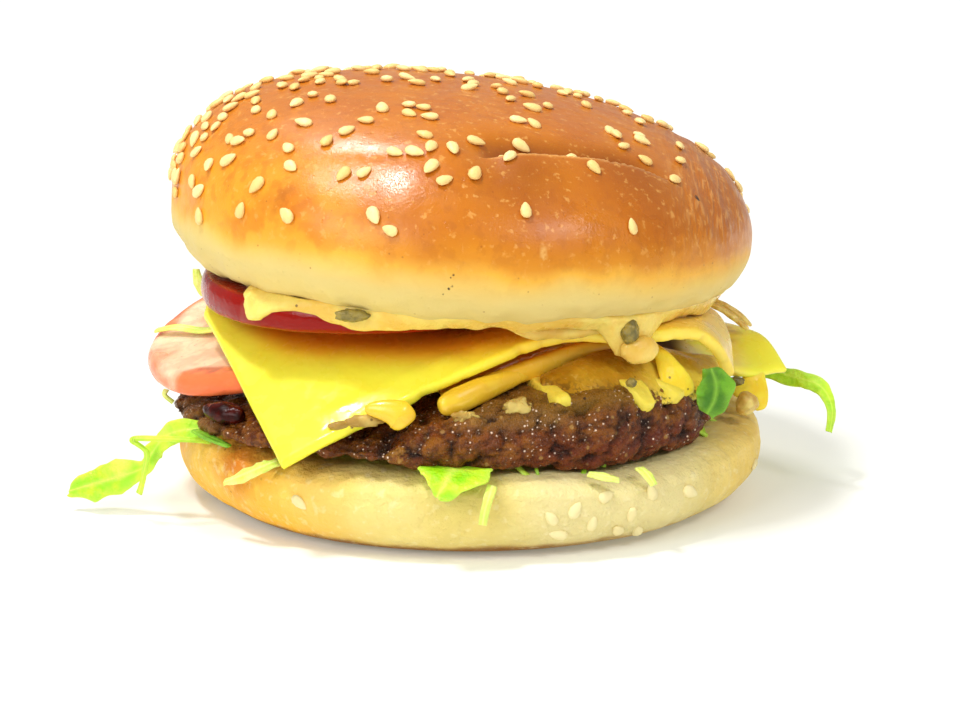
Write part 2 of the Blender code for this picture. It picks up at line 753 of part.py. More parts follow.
def build():
    """Makes every piece of the burger."""
    crust = make_material("bun_crust", BUN_COLOUR, 0.4)
    crumb = make_material("bun_crumb", CRUMB_COLOUR, 0.7)
    green = make_material("lettuce_green", LETTUCE_COLOUR, 0.4)
    pale = make_material("lettuce_pale", PALE_LETTUCE_COLOUR, 0.4)
    meat = make_material("patty_meat", PATTY_COLOUR, 0.45)
    cheese = make_material("cheese", CHEESE_COLOUR, 0.35)
    red = make_material("tomato", TOMATO_COLOUR, 0.25)
    dressing = make_material("sauce", SAUCE_COLOUR, 0.3)
    pickle = make_material("gherkin", GHERKIN_COLOUR, 0.35)
    onion = make_material("onion", ONION_COLOUR, 0.35)
    bun_heel(crumb)
    bun_crown(crust)
    lettuce_bed(pale)
    patty(meat)
    lower_cheese(cheese)
    upper_cheese(cheese)
    lower_tomato(red)
    upper_tomato(red)
    sauce(dressing)
    lettuce_pieces(green, pale)
    onion_strands(onion)
    for name, (centre, half, turn) in CHUNKS.items():
        pebble(name, centre, half, turn, onion if name.startswith("onion") else pickle)


clear_scene()
build()
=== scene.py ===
"""Looks of the cheeseburger: fine surfaces in place of the CAD's plain ones, and what is too small for it.

Lengths are in millimetres and become metres through MM where a mesh is made. X runs to the right, Y to
the back and Z up, with the origin at the centre of the bun heel's flat bottom. The shapes follow the same
sizes as the CAD: each filling is a layer between two heights over the plan position.
"""

import math

import bpy
import numpy as np
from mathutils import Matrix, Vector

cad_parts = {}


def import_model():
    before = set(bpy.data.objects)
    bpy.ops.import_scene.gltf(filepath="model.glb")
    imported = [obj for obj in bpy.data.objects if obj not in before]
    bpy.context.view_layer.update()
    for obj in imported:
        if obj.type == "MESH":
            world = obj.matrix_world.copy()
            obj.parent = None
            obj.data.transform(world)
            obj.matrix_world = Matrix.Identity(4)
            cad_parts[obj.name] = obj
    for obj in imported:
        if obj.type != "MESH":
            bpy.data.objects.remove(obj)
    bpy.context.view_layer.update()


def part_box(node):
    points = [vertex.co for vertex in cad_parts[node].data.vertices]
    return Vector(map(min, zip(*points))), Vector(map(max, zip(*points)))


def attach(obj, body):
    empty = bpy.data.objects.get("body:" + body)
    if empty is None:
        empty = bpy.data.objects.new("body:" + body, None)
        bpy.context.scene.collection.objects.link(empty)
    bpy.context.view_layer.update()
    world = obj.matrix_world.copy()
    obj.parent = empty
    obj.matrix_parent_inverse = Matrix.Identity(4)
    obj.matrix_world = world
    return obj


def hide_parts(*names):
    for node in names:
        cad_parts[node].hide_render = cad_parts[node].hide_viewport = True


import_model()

MM = 0.001
BODY = "root"


def box_mm(node):
    """Lowest and highest corner of a CAD node, in millimetres."""
    low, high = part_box(node)
    return np.array(low) / MM, np.array(high) / MM


_, HEEL_HIGH = box_mm("bun_heel")
BED_LOW, BED_HIGH = box_mm("lettuce_bed")
TOUCH_GAP = 0.3

# Bun heel.
HEEL_RADIUS = 55.2
HEEL_BASE_RADIUS = 44.0
HEEL_CUT_RADIUS = 47.0
HEEL_WIDEST = 9.8
HEEL_SHOULDER = 11.6
HEEL_TOP = HEEL_HIGH[2]
HEEL_DENT_PLACE = (29.0, -43.0)
HEEL_SWELL_PLACE = (-43.0, -29.0, 14.5)
HEEL_TOAST_FRONT = (-40.0, -36.0, 12.5)
HEEL_TOAST_LEFT = (-52.0, -14.0, 12.0)

# Bun crown.
CROWN_RADIUS = 54.4
CROWN_RISE = 26.0
CROWN_LIP_DROP = 8.3
CROWN_LIP_INSET = 7.4
CROWN_SUMMIT_SHIFT = -9.0
CROWN_PLAN_POWER = 2.12
CROWN_SIDE_POWER = 2.44
CROWN_CENTRE = np.array([-1.3, 1.9, 50.4])
LIP_PIVOT = (-1.85, 2.2)
CROWN_TILT_FRONT = math.radians(2.35)
CROWN_TILT_RIGHT = math.radians(3.82)
CROWN_RECESS = 1.3
CROWN_RECESS_RADIUS = 42.0
FOLD_START = (6.0, -39.4)
FOLD_END = (36.0, -28.6)
FOLD_SHIFT = 1.0
FOLD_DEPTH = 2.1
FOLD_ROLL = 1.1
FOLD_HOLLOW_PLACE = (4.0, -37.6, 68.0)
CROWN_SWELL_PLACE = (-5.0, -41.0, 66.5)
CROWN_DIP_PLACE = (-17.0, -46.5, 61.5)
CROWN_SHADE_LEFT = (8.0, -41.5, 63.0)
CROWN_SHADE_RIGHT = (28.0, -32.0, 62.5)

# Patty.
BED_TOP = BED_HIGH[2]
PATTY_CENTRE = (-4.0, -1.0)
PATTY_RADIUS = 51.4
PATTY_UNDER = BED_TOP + TOUCH_GAP
PATTY_TOP = 28.6
PATTY_THICK_DIRECTION = math.radians(-62)
PATTY_THICK_SPREAD = math.radians(38)
PATTY_THICK_GAIN = 5.5
PATTY_DROP = 7.6
PATTY_DOME_RADIUS = 50.0
PATTY_DOME_POWER = 2.2
PATTY_SLOPE = 0.03
PATTY_DENT_PLACE = (-14.0, -45.0)
PATTY_DENT_DEPTH = 2.1
PATTY_SAG_PLACE = (30.0, -38.0)
CRACK_PLACE = (-14.0, -50.0, 20.5)
CRACK_END_PLACE = (-20.0, -49.0, 19.6)

# Cheese slices.
CHEESE_THICKNESS = 2.2
LOWER_CHEESE_CORNER = (-11.5, -52.5)
LOWER_CHEESE_SIDE = 85.0
LOWER_CHEESE_GAP = 0.45
LOWER_CHEESE_TURN = math.radians(33)
LOWER_CHEESE_FRONT_LIFT = (25.0, -28.0)
LOWER_CHEESE_RIGHT_LIFT = (53.0, 8.0)
LOWER_CHEESE_RIGHT_FOLD = (57.5, -1.0)
UPPER_CHEESE_CORNER = (-33.4, -56.5)
UPPER_CHEESE_SIDE = 90.0
UPPER_CHEESE_LEVEL = 36.0
UPPER_CHEESE_SLOPE = 0.05
UPPER_CHEESE_SLOPE_START = -28.0
UPPER_CHEESE_TURN = math.radians(20)
UPPER_CHEESE_LEFT_TURN = math.radians(19)
UPPER_CHEESE_BACK_TUCK = 43.0
UPPER_CHEESE_ARCH = (35.0, -25.0)
UPPER_CHEESE_FRONT_LIFT = (38.0, -27.0)
UPPER_CHEESE_RIGHT_LIFT = (45.0, -11.0)
FRONT_BEND = {"way": (-0.4067, -0.9135), "start": 22.0, "radius": 32.0, "most": math.radians(40)}
RIGHT_BEND = {"way": (0.97, -0.243), "start": 48.0, "radius": 7.0, "most": math.radians(70)}
BACK_BEND = {"way": (0.1, 0.995), "start": 45.0, "radius": 14.0, "most": math.radians(45)}

# Tomato slices and sauce.
LOWER_TOMATO_CENTRE = (-28.5, -1.5)
LOWER_TOMATO_RADIUS = 31.8
LOWER_TOMATO_LEVEL = 29.9
LOWER_TOMATO_THICKNESS = 4.2
LOWER_TOMATO_PIVOT = (-28.0, -8.5)
UPPER_TOMATO_CENTRE = (-19.0, -14.0)
UPPER_TOMATO_UNDER = 37.8
UPPER_TOMATO_TOP = 41.15
SKIN_SHARE = 0.955
UPPER_TOMATO_RADIUS = 29.5
LOWER_TOMATO_BARE_PLACE = (-58.5, -12.0)
UPPER_TOMATO_DRESSED_PLACE = (-46.0, -25.0, 40.0)
SAUCE_RADIUS = 43.5

# Lettuce.
SHRED_COUNT = 260
SHRED_THICKNESS = 0.3
LEAF_THICKNESS = 0.6

TURN = 2.0 * math.pi


# ---------------------------------------------------------------- numbers


def smooth(value):
    """0 up to value 0, 1 from value 1, a smooth rise between."""
    t = np.clip(value, 0.0, 1.0)
    return t * t * (3.0 - 2.0 * t)


def xyz(x, y, z):
    """Points from their three coordinates."""
    return np.stack(np.broadcast_arrays(x, y, z), axis=-1)


def turned(first, second, angle):
    """A pair of coordinates turned anticlockwise by an angle."""
    cosine, sine = math.cos(angle), math.sin(angle)
    return first * cosine - second * sine, first * sine + second * cosine


def past(value, start, span):
    """0 up to the start and 1 from a span past it, with a smooth rise between."""
    return smooth((value - start) / span)


def before(value, end, span):
    """1 up to a span before the end and 0 from the end on, with a smooth fall between."""
    return smooth((end - value) / span)


def bell(value, width):
    """1 at 0, falling off on both sides as a bell over the width."""
    return np.exp(-((value / width) ** 2))


def hump(x, y, centre, spread):
    """1 over the centre, falling off as a bell over the spread."""
    return np.exp(-((x - centre[0]) ** 2 + (y - centre[1]) ** 2) / spread**2)


def mound(points, centre, spread):
    """1 at the centre in space, falling off as a bell over the spread."""
    away = points - np.array(centre)
    return np.exp(-np.sum(away**2, axis=-1) / spread**2)


def wobble(angle, waves, seed):
    """An uneven closed curve from -1 to 1: a few cosine waves with seeded phases."""
    rng = np.random.default_rng(seed)
    total = np.zeros_like(angle)
    for count in waves:
        total += np.cos(count * angle + rng.uniform(0.0, TURN))
    return total / len(waves)


# Large odd factors that spread neighbouring cells far apart, and how many bits of the result are kept.
CELL_FACTORS = np.array([374761393, 668265263, 1103515245])
SEED_FACTOR = 974634777
LOW_32_BITS = 0xFFFFFFFF
LOW_24_BITS = 0xFFFFFF


def cell_value(cell, seed):
    """A repeatable random number from 0 to 1 for each lattice cell: its whole coordinates and the seed,
    mixed by large odd factors and shifts."""
    mixed = (cell @ CELL_FACTORS + seed * SEED_FACTOR) & LOW_32_BITS
    mixed = ((mixed ^ (mixed >> 13)) * 1274126177) & LOW_32_BITS
    mixed = ((mixed ^ (mixed >> 16)) * 668265263) & LOW_32_BITS
    return ((mixed ^ (mixed >> 15)) & LOW_24_BITS) / float(LOW_24_BITS)


def lumps(points, size, seed, octaves=1):
    """Smooth noise from -1 to 1: random values at the corners of a cubic lattice, blended between them.
    Each further octave has half the size and half the height."""
    total = np.zeros(points.shape[:-1])
    height, whole = 1.0, 0.0
    for octave in range(octaves):
        scaled = points / size + 17.3 * octave
        base = np.floor(scaled).astype(np.int64)
        t = scaled - base
        t = t * t * (3.0 - 2.0 * t)
        for corner in np.ndindex(2, 2, 2):
            near = np.array(corner)
            weight = np.prod(np.where(near == 1, t, 1.0 - t), axis=-1)
            total += height * weight * (2.0 * cell_value(base + near, seed + octave) - 1.0)
        whole += height
        height *= 0.5
        size *= 0.5
    return total / whole


def crumbs(points, size, seed):
    """Packed rounded grains: one seeded point in each cell of a cubic lattice. Returns the height of a
    ball round the nearest one, 1 at its middle and 0 from 0.8 of the size, and that cell's own number."""
    scaled = points / size
    base = np.floor(scaled).astype(np.int64)
    nearest = np.full(points.shape[:-1], 9.0)
    number = np.zeros(points.shape[:-1])
    for step in np.ndindex(3, 3, 3):
        cell = base + np.array(step) - 1
        place = cell + np.stack([cell_value(cell, seed + axis) for axis in range(3)], axis=-1)
        away = np.sum((scaled - place) ** 2, axis=-1)
        closer = away < nearest
        nearest = np.where(closer, away, nearest)
        number = np.where(closer, cell_value(cell, seed + 7), number)
    return np.sqrt(np.clip(1.0 - nearest / 0.64, 0.0, 1.0)), number


# ---------------------------------------------------------------- meshes


def unit(vectors):
    """Vectors brought to length 1."""
    return vectors / np.maximum(np.linalg.norm(vectors, axis=-1, keepdims=True), 1e-9)


def on_x(values):
    """Points on the X axis at the values, where the noise is read along a line."""
    return xyz(values, 0.0, 0.0)


NO_TRIANGLES = np.zeros((0, 3), int)


def make_piece(name, points, quads, triangles, material, masks, slot, replaced):
    """A smooth-shaded object from points in millimetres and arrays of faces, with one float attribute
    for each mask. It rides on the body, and stands for the CAD nodes named."""
    mesh = bpy.data.meshes.new(name)
    mesh.vertices.add(len(points))
    mesh.vertices.foreach_set("co", (points * MM).astype(np.float32).ravel())
    corners = np.concatenate([quads.ravel(), triangles.ravel()]).astype(np.int32)
    sizes = np.concatenate([np.full(len(quads), 4), np.full(len(triangles), 3)])
    starts = np.concatenate([[0], np.cumsum(sizes)[:-1]]).astype(np.int32)
    mesh.loops.add(len(corners))
    mesh.loops.foreach_set("vertex_index", corners)
    mesh.polygons.add(len(sizes))
    mesh.polygons.foreach_set("loop_start", starts)
    mesh.update(calc_edges=True)
    mesh.shade_smooth()
    for mask, values in masks.items():
        layer = mesh.attributes.new(mask, "FLOAT", "POINT")
        layer.data.foreach_set("value", np.asarray(values, np.float32).ravel())
    mesh.materials.append(material)
    piece = bpy.data.objects.new(name, mesh)
    bpy.context.scene.collection.objects.link(piece)
    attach(piece, BODY)
    if replaced:
        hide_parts(*replaced)
    return piece


def ring_normals(rings):
    """Outward directions of rings given lowest first and anticlockwise: the way along the ring crossed
    with the way up to the next ring."""
    along = np.roll(rings, -1, axis=1) - np.roll(rings, 1, axis=1)
    return unit(np.cross(along, np.gradient(rings, axis=0)))


def pushed_out(rings, height):
    """Rings moved outward by the height at each point."""
    return rings + ring_normals(rings) * height[..., None]


def ring_piece(name, rings, material, slot, replaced, masks=None):
    """A closed body from rings, with a pole point at each end."""
    rows, around = rings.shape[:2]
    index = np.arange(rows * around).reshape(rows, around)
    beside = np.roll(index, -1, axis=1)
    quads = np.stack([index[:-1], beside[:-1], beside[1:], index[1:]], axis=-1).reshape(-1, 4)
    low, high = rows * around, rows * around + 1
    bottom = np.stack([np.full(around, low), beside[0], index[0]], axis=-1)
    top = np.stack([np.full(around, high), index[-1], beside[-1]], axis=-1)
    points = np.concatenate([rings.reshape(-1, 3), rings[:1].mean(axis=1), rings[-1:].mean(axis=1)])
    full = {}
    for mask, values in (masks or {}).items():
        ends = [values[0].mean(), values[-1].mean()]
        full[mask] = np.concatenate([values.ravel(), ends])
    triangles = np.concatenate([bottom, top])
    return make_piece(name, points, quads, triangles, material, full, slot, replaced)


def sheet_normals(grid):
    """Upper directions of a grid of points: the way along its rows crossed with the way across."""
    return unit(np.cross(np.gradient(grid, axis=0), np.gradient(grid, axis=1)))


def slab_arrays(grid, thickness, rim_distance, roundness, squareness):
    """Points and faces of a sheet below the given upper face, with a rounded rim. Within roundness of
    the rim, the two faces close on each other along a superellipse."""
    rows, columns = grid.shape[:2]
    share = 1.0 - np.clip(rim_distance / roundness, 0.0, 1.0)
    opening = (1.0 - share**squareness) ** (1.0 / squareness)
    half = 0.5 * thickness
    normal = sheet_normals(grid)
    middle = grid - normal * np.broadcast_to(half, rim_distance.shape)[..., None]
    reach = (opening * half)[..., None]
    upper = middle + normal * reach
    lower = middle - normal * reach
    index = np.arange(rows * columns).reshape(rows, columns)
    inner = np.zeros((rows, columns), bool)
    inner[1:-1, 1:-1] = True
    below = index.copy()
    below[inner] = rows * columns + np.arange(inner.sum())
    top = np.stack([index[:-1, :-1], index[1:, :-1], index[1:, 1:], index[:-1, 1:]], axis=-1)
    bottom = np.stack([below[:-1, :-1], below[:-1, 1:], below[1:, 1:], below[1:, :-1]], axis=-1)
    points = np.concatenate([upper.reshape(-1, 3), lower[inner]])
    return points, np.concatenate([top.reshape(-1, 4), bottom.reshape(-1, 4)]), inner


def slab_piece(
    name, grid, thickness, rim_distance, material, slot, replaced, masks, roundness, squareness=2.0
):
    """A sheet as one closed body."""
    points, quads, inner = slab_arrays(grid, thickness, rim_distance, roundness, squareness)
    full = {}
    for mask, values in (masks or {}).items():
        full[mask] = np.concatenate([values.ravel(), values[inner]])
    return make_piece(name, points, quads, NO_TRIANGLES, material, full, slot, replaced)


def rim_spaced(length, count):
    """Distances from 0 to length, closer together near both ends."""
    turn = np.linspace(0.0, math.pi, count)
    even = np.linspace(0.0, 1.0, count)
    return length * (0.6 * (0.5 - 0.5 * np.cos(turn)) + 0.4 * even)


def path_through(points, count):
    """Points along a smooth line through the given ones (Catmull-Rom)."""
    ends = np.array([points[0], *points, points[-1]], float)
    stations = np.linspace(0.0, len(points) - 1.0, count)
    index = np.minimum(stations.astype(int), len(points) - 2)
    t = (stations - index)[:, None]
    p0, p1, p2, p3 = (ends[index + k] for k in range(4))
    return 0.5 * (
        2.0 * p1 + (p2 - p0) * t + (2.0 * p0 - 5.0 * p1 + 4.0 * p2 - p3) * t**2
        + (3.0 * p1 - p0 - 3.0 * p2 + p3) * t**3
    )


def along_values(values, stations):
    """Values, one or more columns, read evenly along a length from 0 to 1."""
    table = np.atleast_2d(np.array(values, float).T).T
    places = np.linspace(0.0, 1.0, len(table))
    return np.stack([np.interp(stations, places, table[:, k]) for k in range(table.shape[1])], axis=-1)


def strip_frame(points, facing, count):
    """A smooth line with the sideways and face directions at each station."""
    line = path_through(points, count)
    step = unit(np.gradient(line, axis=0))
    stations = np.linspace(0.0, 1.0, count)
    side = unit(np.cross(along_values(facing, stations), step))
    return line, side, np.cross(step, side), stations


def leaf_piece(name, leaf, material, slot, replaced, seed):
    """A leaf: a strip along a smooth line, uneven in width on either side. Its middle is raised by curl
    times its width, and its edges swing up and down by ruffle in waves that fade towards the middle. The
    mask vein is 1 along the middle, and edge is 1 at the rim."""
    curl, ruffle, waves, along, across, points, widths, facing = leaf
    line, side, face, stations = strip_frame(points, facing, along)
    width = along_values(widths, stations)
    share = 0.5 * np.sin(np.linspace(-0.5, 0.5, across) * math.pi)
    length = np.linalg.norm(np.gradient(line, axis=0), axis=1).sum()
    sides = [1.0 + 0.22 * lumps(on_x(stations * length), 2.6, seed + side, 2)[:, None] for side in range(2)]
    offset = width * share * np.where(share > 0.0, sides[0], sides[1])
    phase = waves * TURN * stations[:, None] + 3.0 * share + 2.0 * np.sin(9.0 * stations[:, None] + seed)
    lift = width * curl * (0.5 - 2.0 * share**2) + ruffle * np.sin(phase) * (2.0 * np.abs(share)) ** 1.5
    grid = line[:, None] + side[:, None] * offset[..., None] + face[:, None] * lift[..., None]
    ends = np.minimum(stations, 1.0 - stations)[:, None] * length
    rim = np.minimum(width * (0.5 - np.abs(share)), ends)
    masks = {"vein": bell(share, 0.06) + 0.0 * rim, "edge": np.exp(-rim / 0.8)}
    return slab_piece(name, grid, LEAF_THICKNESS, rim, material, slot, replaced, masks, roundness=0.4)


def bead_piece(name, bead, material, slot, replaced, seed):
    """A bead as one closed body: a tube along a smooth line, whose section is an ellipse lying flat on the
    face direction, with rounded ends."""
    count, around, rough, points, half_widths, half_heights, facing = bead
    line, side, face, stations = strip_frame(points, (facing,), count)
    angle = np.linspace(0.0, TURN, around, endpoint=False)
    ends = np.sqrt(np.clip(1.0 - (2.0 * stations - 1.0) ** 8, 0.0, 1.0))
    wide = (along_values(half_widths, stations)[:, 0] * ends)[:, None, None]
    high = (along_values(half_heights, stations)[:, 0] * ends)[:, None, None]
    rings = line[:, None] + side[:, None] * wide * np.cos(angle)[:, None]
    rings = (rings + face[:, None] * high * np.sin(angle)[:, None])[1:-1]
    rings = pushed_out(rings, rough * lumps(rings, 2.2, seed, 2))
    return ring_piece(name, rings, material, slot, replaced)


def blob_piece(name, centre, half, turn, rough, material, slot, replaced, seed, rows=28, around=40):
    """A rounded chunk as one closed body: an ellipsoid turned about Z, with lumps."""
    rise = np.linspace(-0.5, 0.5, rows + 2)[1:-1, None] * math.pi
    angle = np.linspace(0.0, TURN, around, endpoint=False)[None]
    form = xyz(np.cos(rise) * np.cos(angle), np.cos(rise) * np.sin(angle), np.sin(rise)) * np.array(half)
    form = form * (1.0 + rough * lumps(form / min(half), 0.8, seed, 2)[..., None])
    x, y = turned(form[..., 0], form[..., 1], turn)
    return ring_piece(name, xyz(x, y, form[..., 2]) + np.array(centre), material, slot, replaced)


def strip_bundle(name, lines, sides, widths, tones, material, slot):
    """Many thin strips as one mesh: each is a flattened tube with four corners round its own line, closed
    at both ends. Lines and sides hold strips by stations; widths hold one number for each station."""
    steps = unit(np.gradient(lines, axis=1))
    sides = unit(sides - steps * np.sum(sides * steps, axis=-1, keepdims=True))
    faces = np.cross(steps, sides)
    across = np.array([0.5, -0.5, -0.5, 0.5])[:, None] * np.asarray(widths)[..., None, None]
    up = np.array([0.5, 0.5, -0.5, -0.5])[:, None] * SHRED_THICKNESS
    tubes = lines[:, :, None] + sides[:, :, None] * across + faces[:, :, None] * up
    count, stations = lines.shape[:2]
    index = np.arange(count * stations * 4).reshape(count, stations, 4)
    beside = np.roll(index, -1, axis=2)
    walls = np.stack([index[:, :-1], beside[:, :-1], beside[:, 1:], index[:, 1:]], axis=-1).reshape(-1, 4)
    quads = np.concatenate([walls, index[:, 0, ::-1], index[:, -1]])
    masks = {"tone": np.repeat(tones, stations * 4)}
    return make_piece(name, tubes.reshape(-1, 3), quads, NO_TRIANGLES, material, masks, slot, ())


def drape_piece(name, high, low, material, slot, thickness, bulge, seed, up, bead):
    """A thick liquid hanging between an upper and a lower line of equally many points: straight from one
    to the other, pushed out by a half wave along the way its face looks. The body swells towards its
    lower rim. The mask pale grows to the right, and pepper towards the lower rim."""
    share = rim_spaced(1.0, up)[None, :, None]
    high, low = high[:, None], low[:, None]
    grid = low + (high - low) * share
    out = unit(np.cross(np.gradient(high + low, axis=0), high - low))
    rough = 0.25 * lumps(grid, 3.0, seed + 3, 2)[..., None]
    grid = grid + out * (bulge * np.sin(math.pi * share) + rough)
    span = np.linalg.norm(high - low, axis=-1)
    steps = np.linalg.norm(np.diff(grid[:, 0], axis=0), axis=1)
    passed = np.concatenate([[0.0], np.cumsum(steps)])
    ends = np.minimum(passed, passed[-1] - passed)[:, None]
    rim = np.minimum(span * np.minimum(share, 1.0 - share)[..., 0], ends)
    swell = thickness * (1.0 + bead * np.exp(-(share[..., 0] * span / 1.6)))
    masks = {
        "pale": 0.9 * past(grid[..., 0], 26.0, 10.0),
        "pepper": smooth((5.0 - share[..., 0] * span) / 4.6),
    }
    return slab_piece(name, grid, swell, rim, material, slot, (), masks, 0.9)


# ---------------------------------------------------------------- materials


def tone(red, green, blue):
    """A colour as seen on a screen, 0 to 255, in the shader's linear numbers."""
    share = np.array([red, green, blue]) / 255.0
    bright = ((share + 0.055) / 1.055) ** 2.4
    return (*np.where(share <= 0.04045, share / 12.92, bright), 1.0)


def new_group(name, inputs, output):
    """An empty shader group with its named inputs, of which one without a value is a vector, and one
    number as its output. Returns the tree and its two ends."""
    tree = bpy.data.node_groups.new(name, "ShaderNodeTree")
    for socket, value in inputs.items():
        kind = "NodeSocketVector" if value is None else "NodeSocketFloat"
        made = tree.interface.new_socket(name=socket, in_out="INPUT", socket_type=kind)
        if value is not None:
            made.default_value = value
    tree.interface.new_socket(name=output, in_out="OUTPUT", socket_type="NodeSocketFloat")
    return tree, tree.nodes.new("NodeGroupInput"), tree.nodes.new("NodeGroupOutput")


def put(tree, kind, links, **settings):
    """Adds a node with its settings. Each of links is a socket's name or number, with what feeds it."""
    node = tree.nodes.new(kind)
    for setting, value in settings.items():
        setattr(node, setting, value)
    for socket, value in links.items():
        if isinstance(value, bpy.types.NodeSocket):
            tree.links.new(value, node.inputs[socket])
        else:
            node.inputs[socket].default_value = value
    return node


def calculate(tree, operation, *values):
    """A number worked out from values."""
    return put(tree, "ShaderNodeMath", dict(enumerate(values)), operation=operation).outputs[0]


def fit(tree, value, low, high, to_low=0.0, to_high=1.0):
    """A smooth change from to_low to to_high while the value goes from low to high."""
    links = {"Value": value, "From Min": low, "From Max": high, "To Min": to_low, "To Max": to_high}
    return put(tree, "ShaderNodeMapRange", links, interpolation_type="SMOOTHSTEP").outputs[0]


def scaled_place(tree, source):
    """The group's Position in units of its Size."""
    inverse = calculate(tree, "DIVIDE", 1.0, source.outputs["Size"])
    links = {0: source.outputs["Position"], "Scale": inverse}
    return put(tree, "ShaderNodeVectorMath", links, operation="SCALE").outputs[0]


def mottle_group():
    """Cloudy patches: noise of the given Size, 0 below Low and 1 above High."""
    numbers = {"Position": None, "Size": 5.0, "Detail": 3.0, "Low": 0.4, "High": 0.6}
    tree, source, sink = new_group("Mottle", numbers, "Mask")
    links = {"Vector": scaled_place(tree, source), "Scale": 1.0, "Detail": source.outputs["Detail"]}
    noise = put(tree, "ShaderNodeTexNoise", links).outputs[0]
    mask = fit(tree, noise, source.outputs["Low"], source.outputs["High"])
    tree.links.new(mask, sink.inputs["Mask"])
    return tree


def speck_group():
    """Scattered dots: round the seeded point of each cell of the given Size, out to Radius, in the Share
    of the cells whose own number is low enough."""
    numbers = {"Position": None, "Size": 3.0, "Radius": 0.2, "Share": 0.5}
    tree, source, sink = new_group("Specks", numbers, "Mask")
    cells = put(tree, "ShaderNodeTexVoronoi", {"Vector": scaled_place(tree, source), "Scale": 1.0})
    radius = source.outputs["Radius"]
    dot = fit(tree, cells.outputs["Distance"], calculate(tree, "MULTIPLY", radius, 0.55), radius, 1.0, 0.0)
    number = put(tree, "ShaderNodeSeparateColor", {0: cells.outputs["Color"]}).outputs[0]
    chosen = calculate(tree, "LESS_THAN", number, source.outputs["Share"])
    tree.links.new(calculate(tree, "MULTIPLY", dot, chosen), sink.inputs["Mask"])
    return tree


def grain_group():
    """Surface grain: noise of the given Size with a finer one at a third of it, from 0 to 1."""
    numbers = {"Position": None, "Size": 1.0, "Fine": 0.5}
    tree, source, sink = new_group("Grain", numbers, "Height")
    place = scaled_place(tree, source)
    broad = put(tree, "ShaderNodeTexNoise", {"Vector": place, "Scale": 1.0, "Detail": 2.0}).outputs[0]
    fine = put(tree, "ShaderNodeTexNoise", {"Vector": place, "Scale": 3.1, "Detail": 2.0}).outputs[0]
    total = calculate(tree, "MULTIPLY_ADD", fine, source.outputs["Fine"], broad)
    tree.links.new(total, sink.inputs["Height"])
    return tree


MOTTLE = mottle_group()
SPECKS = speck_group()
GRAIN = grain_group()


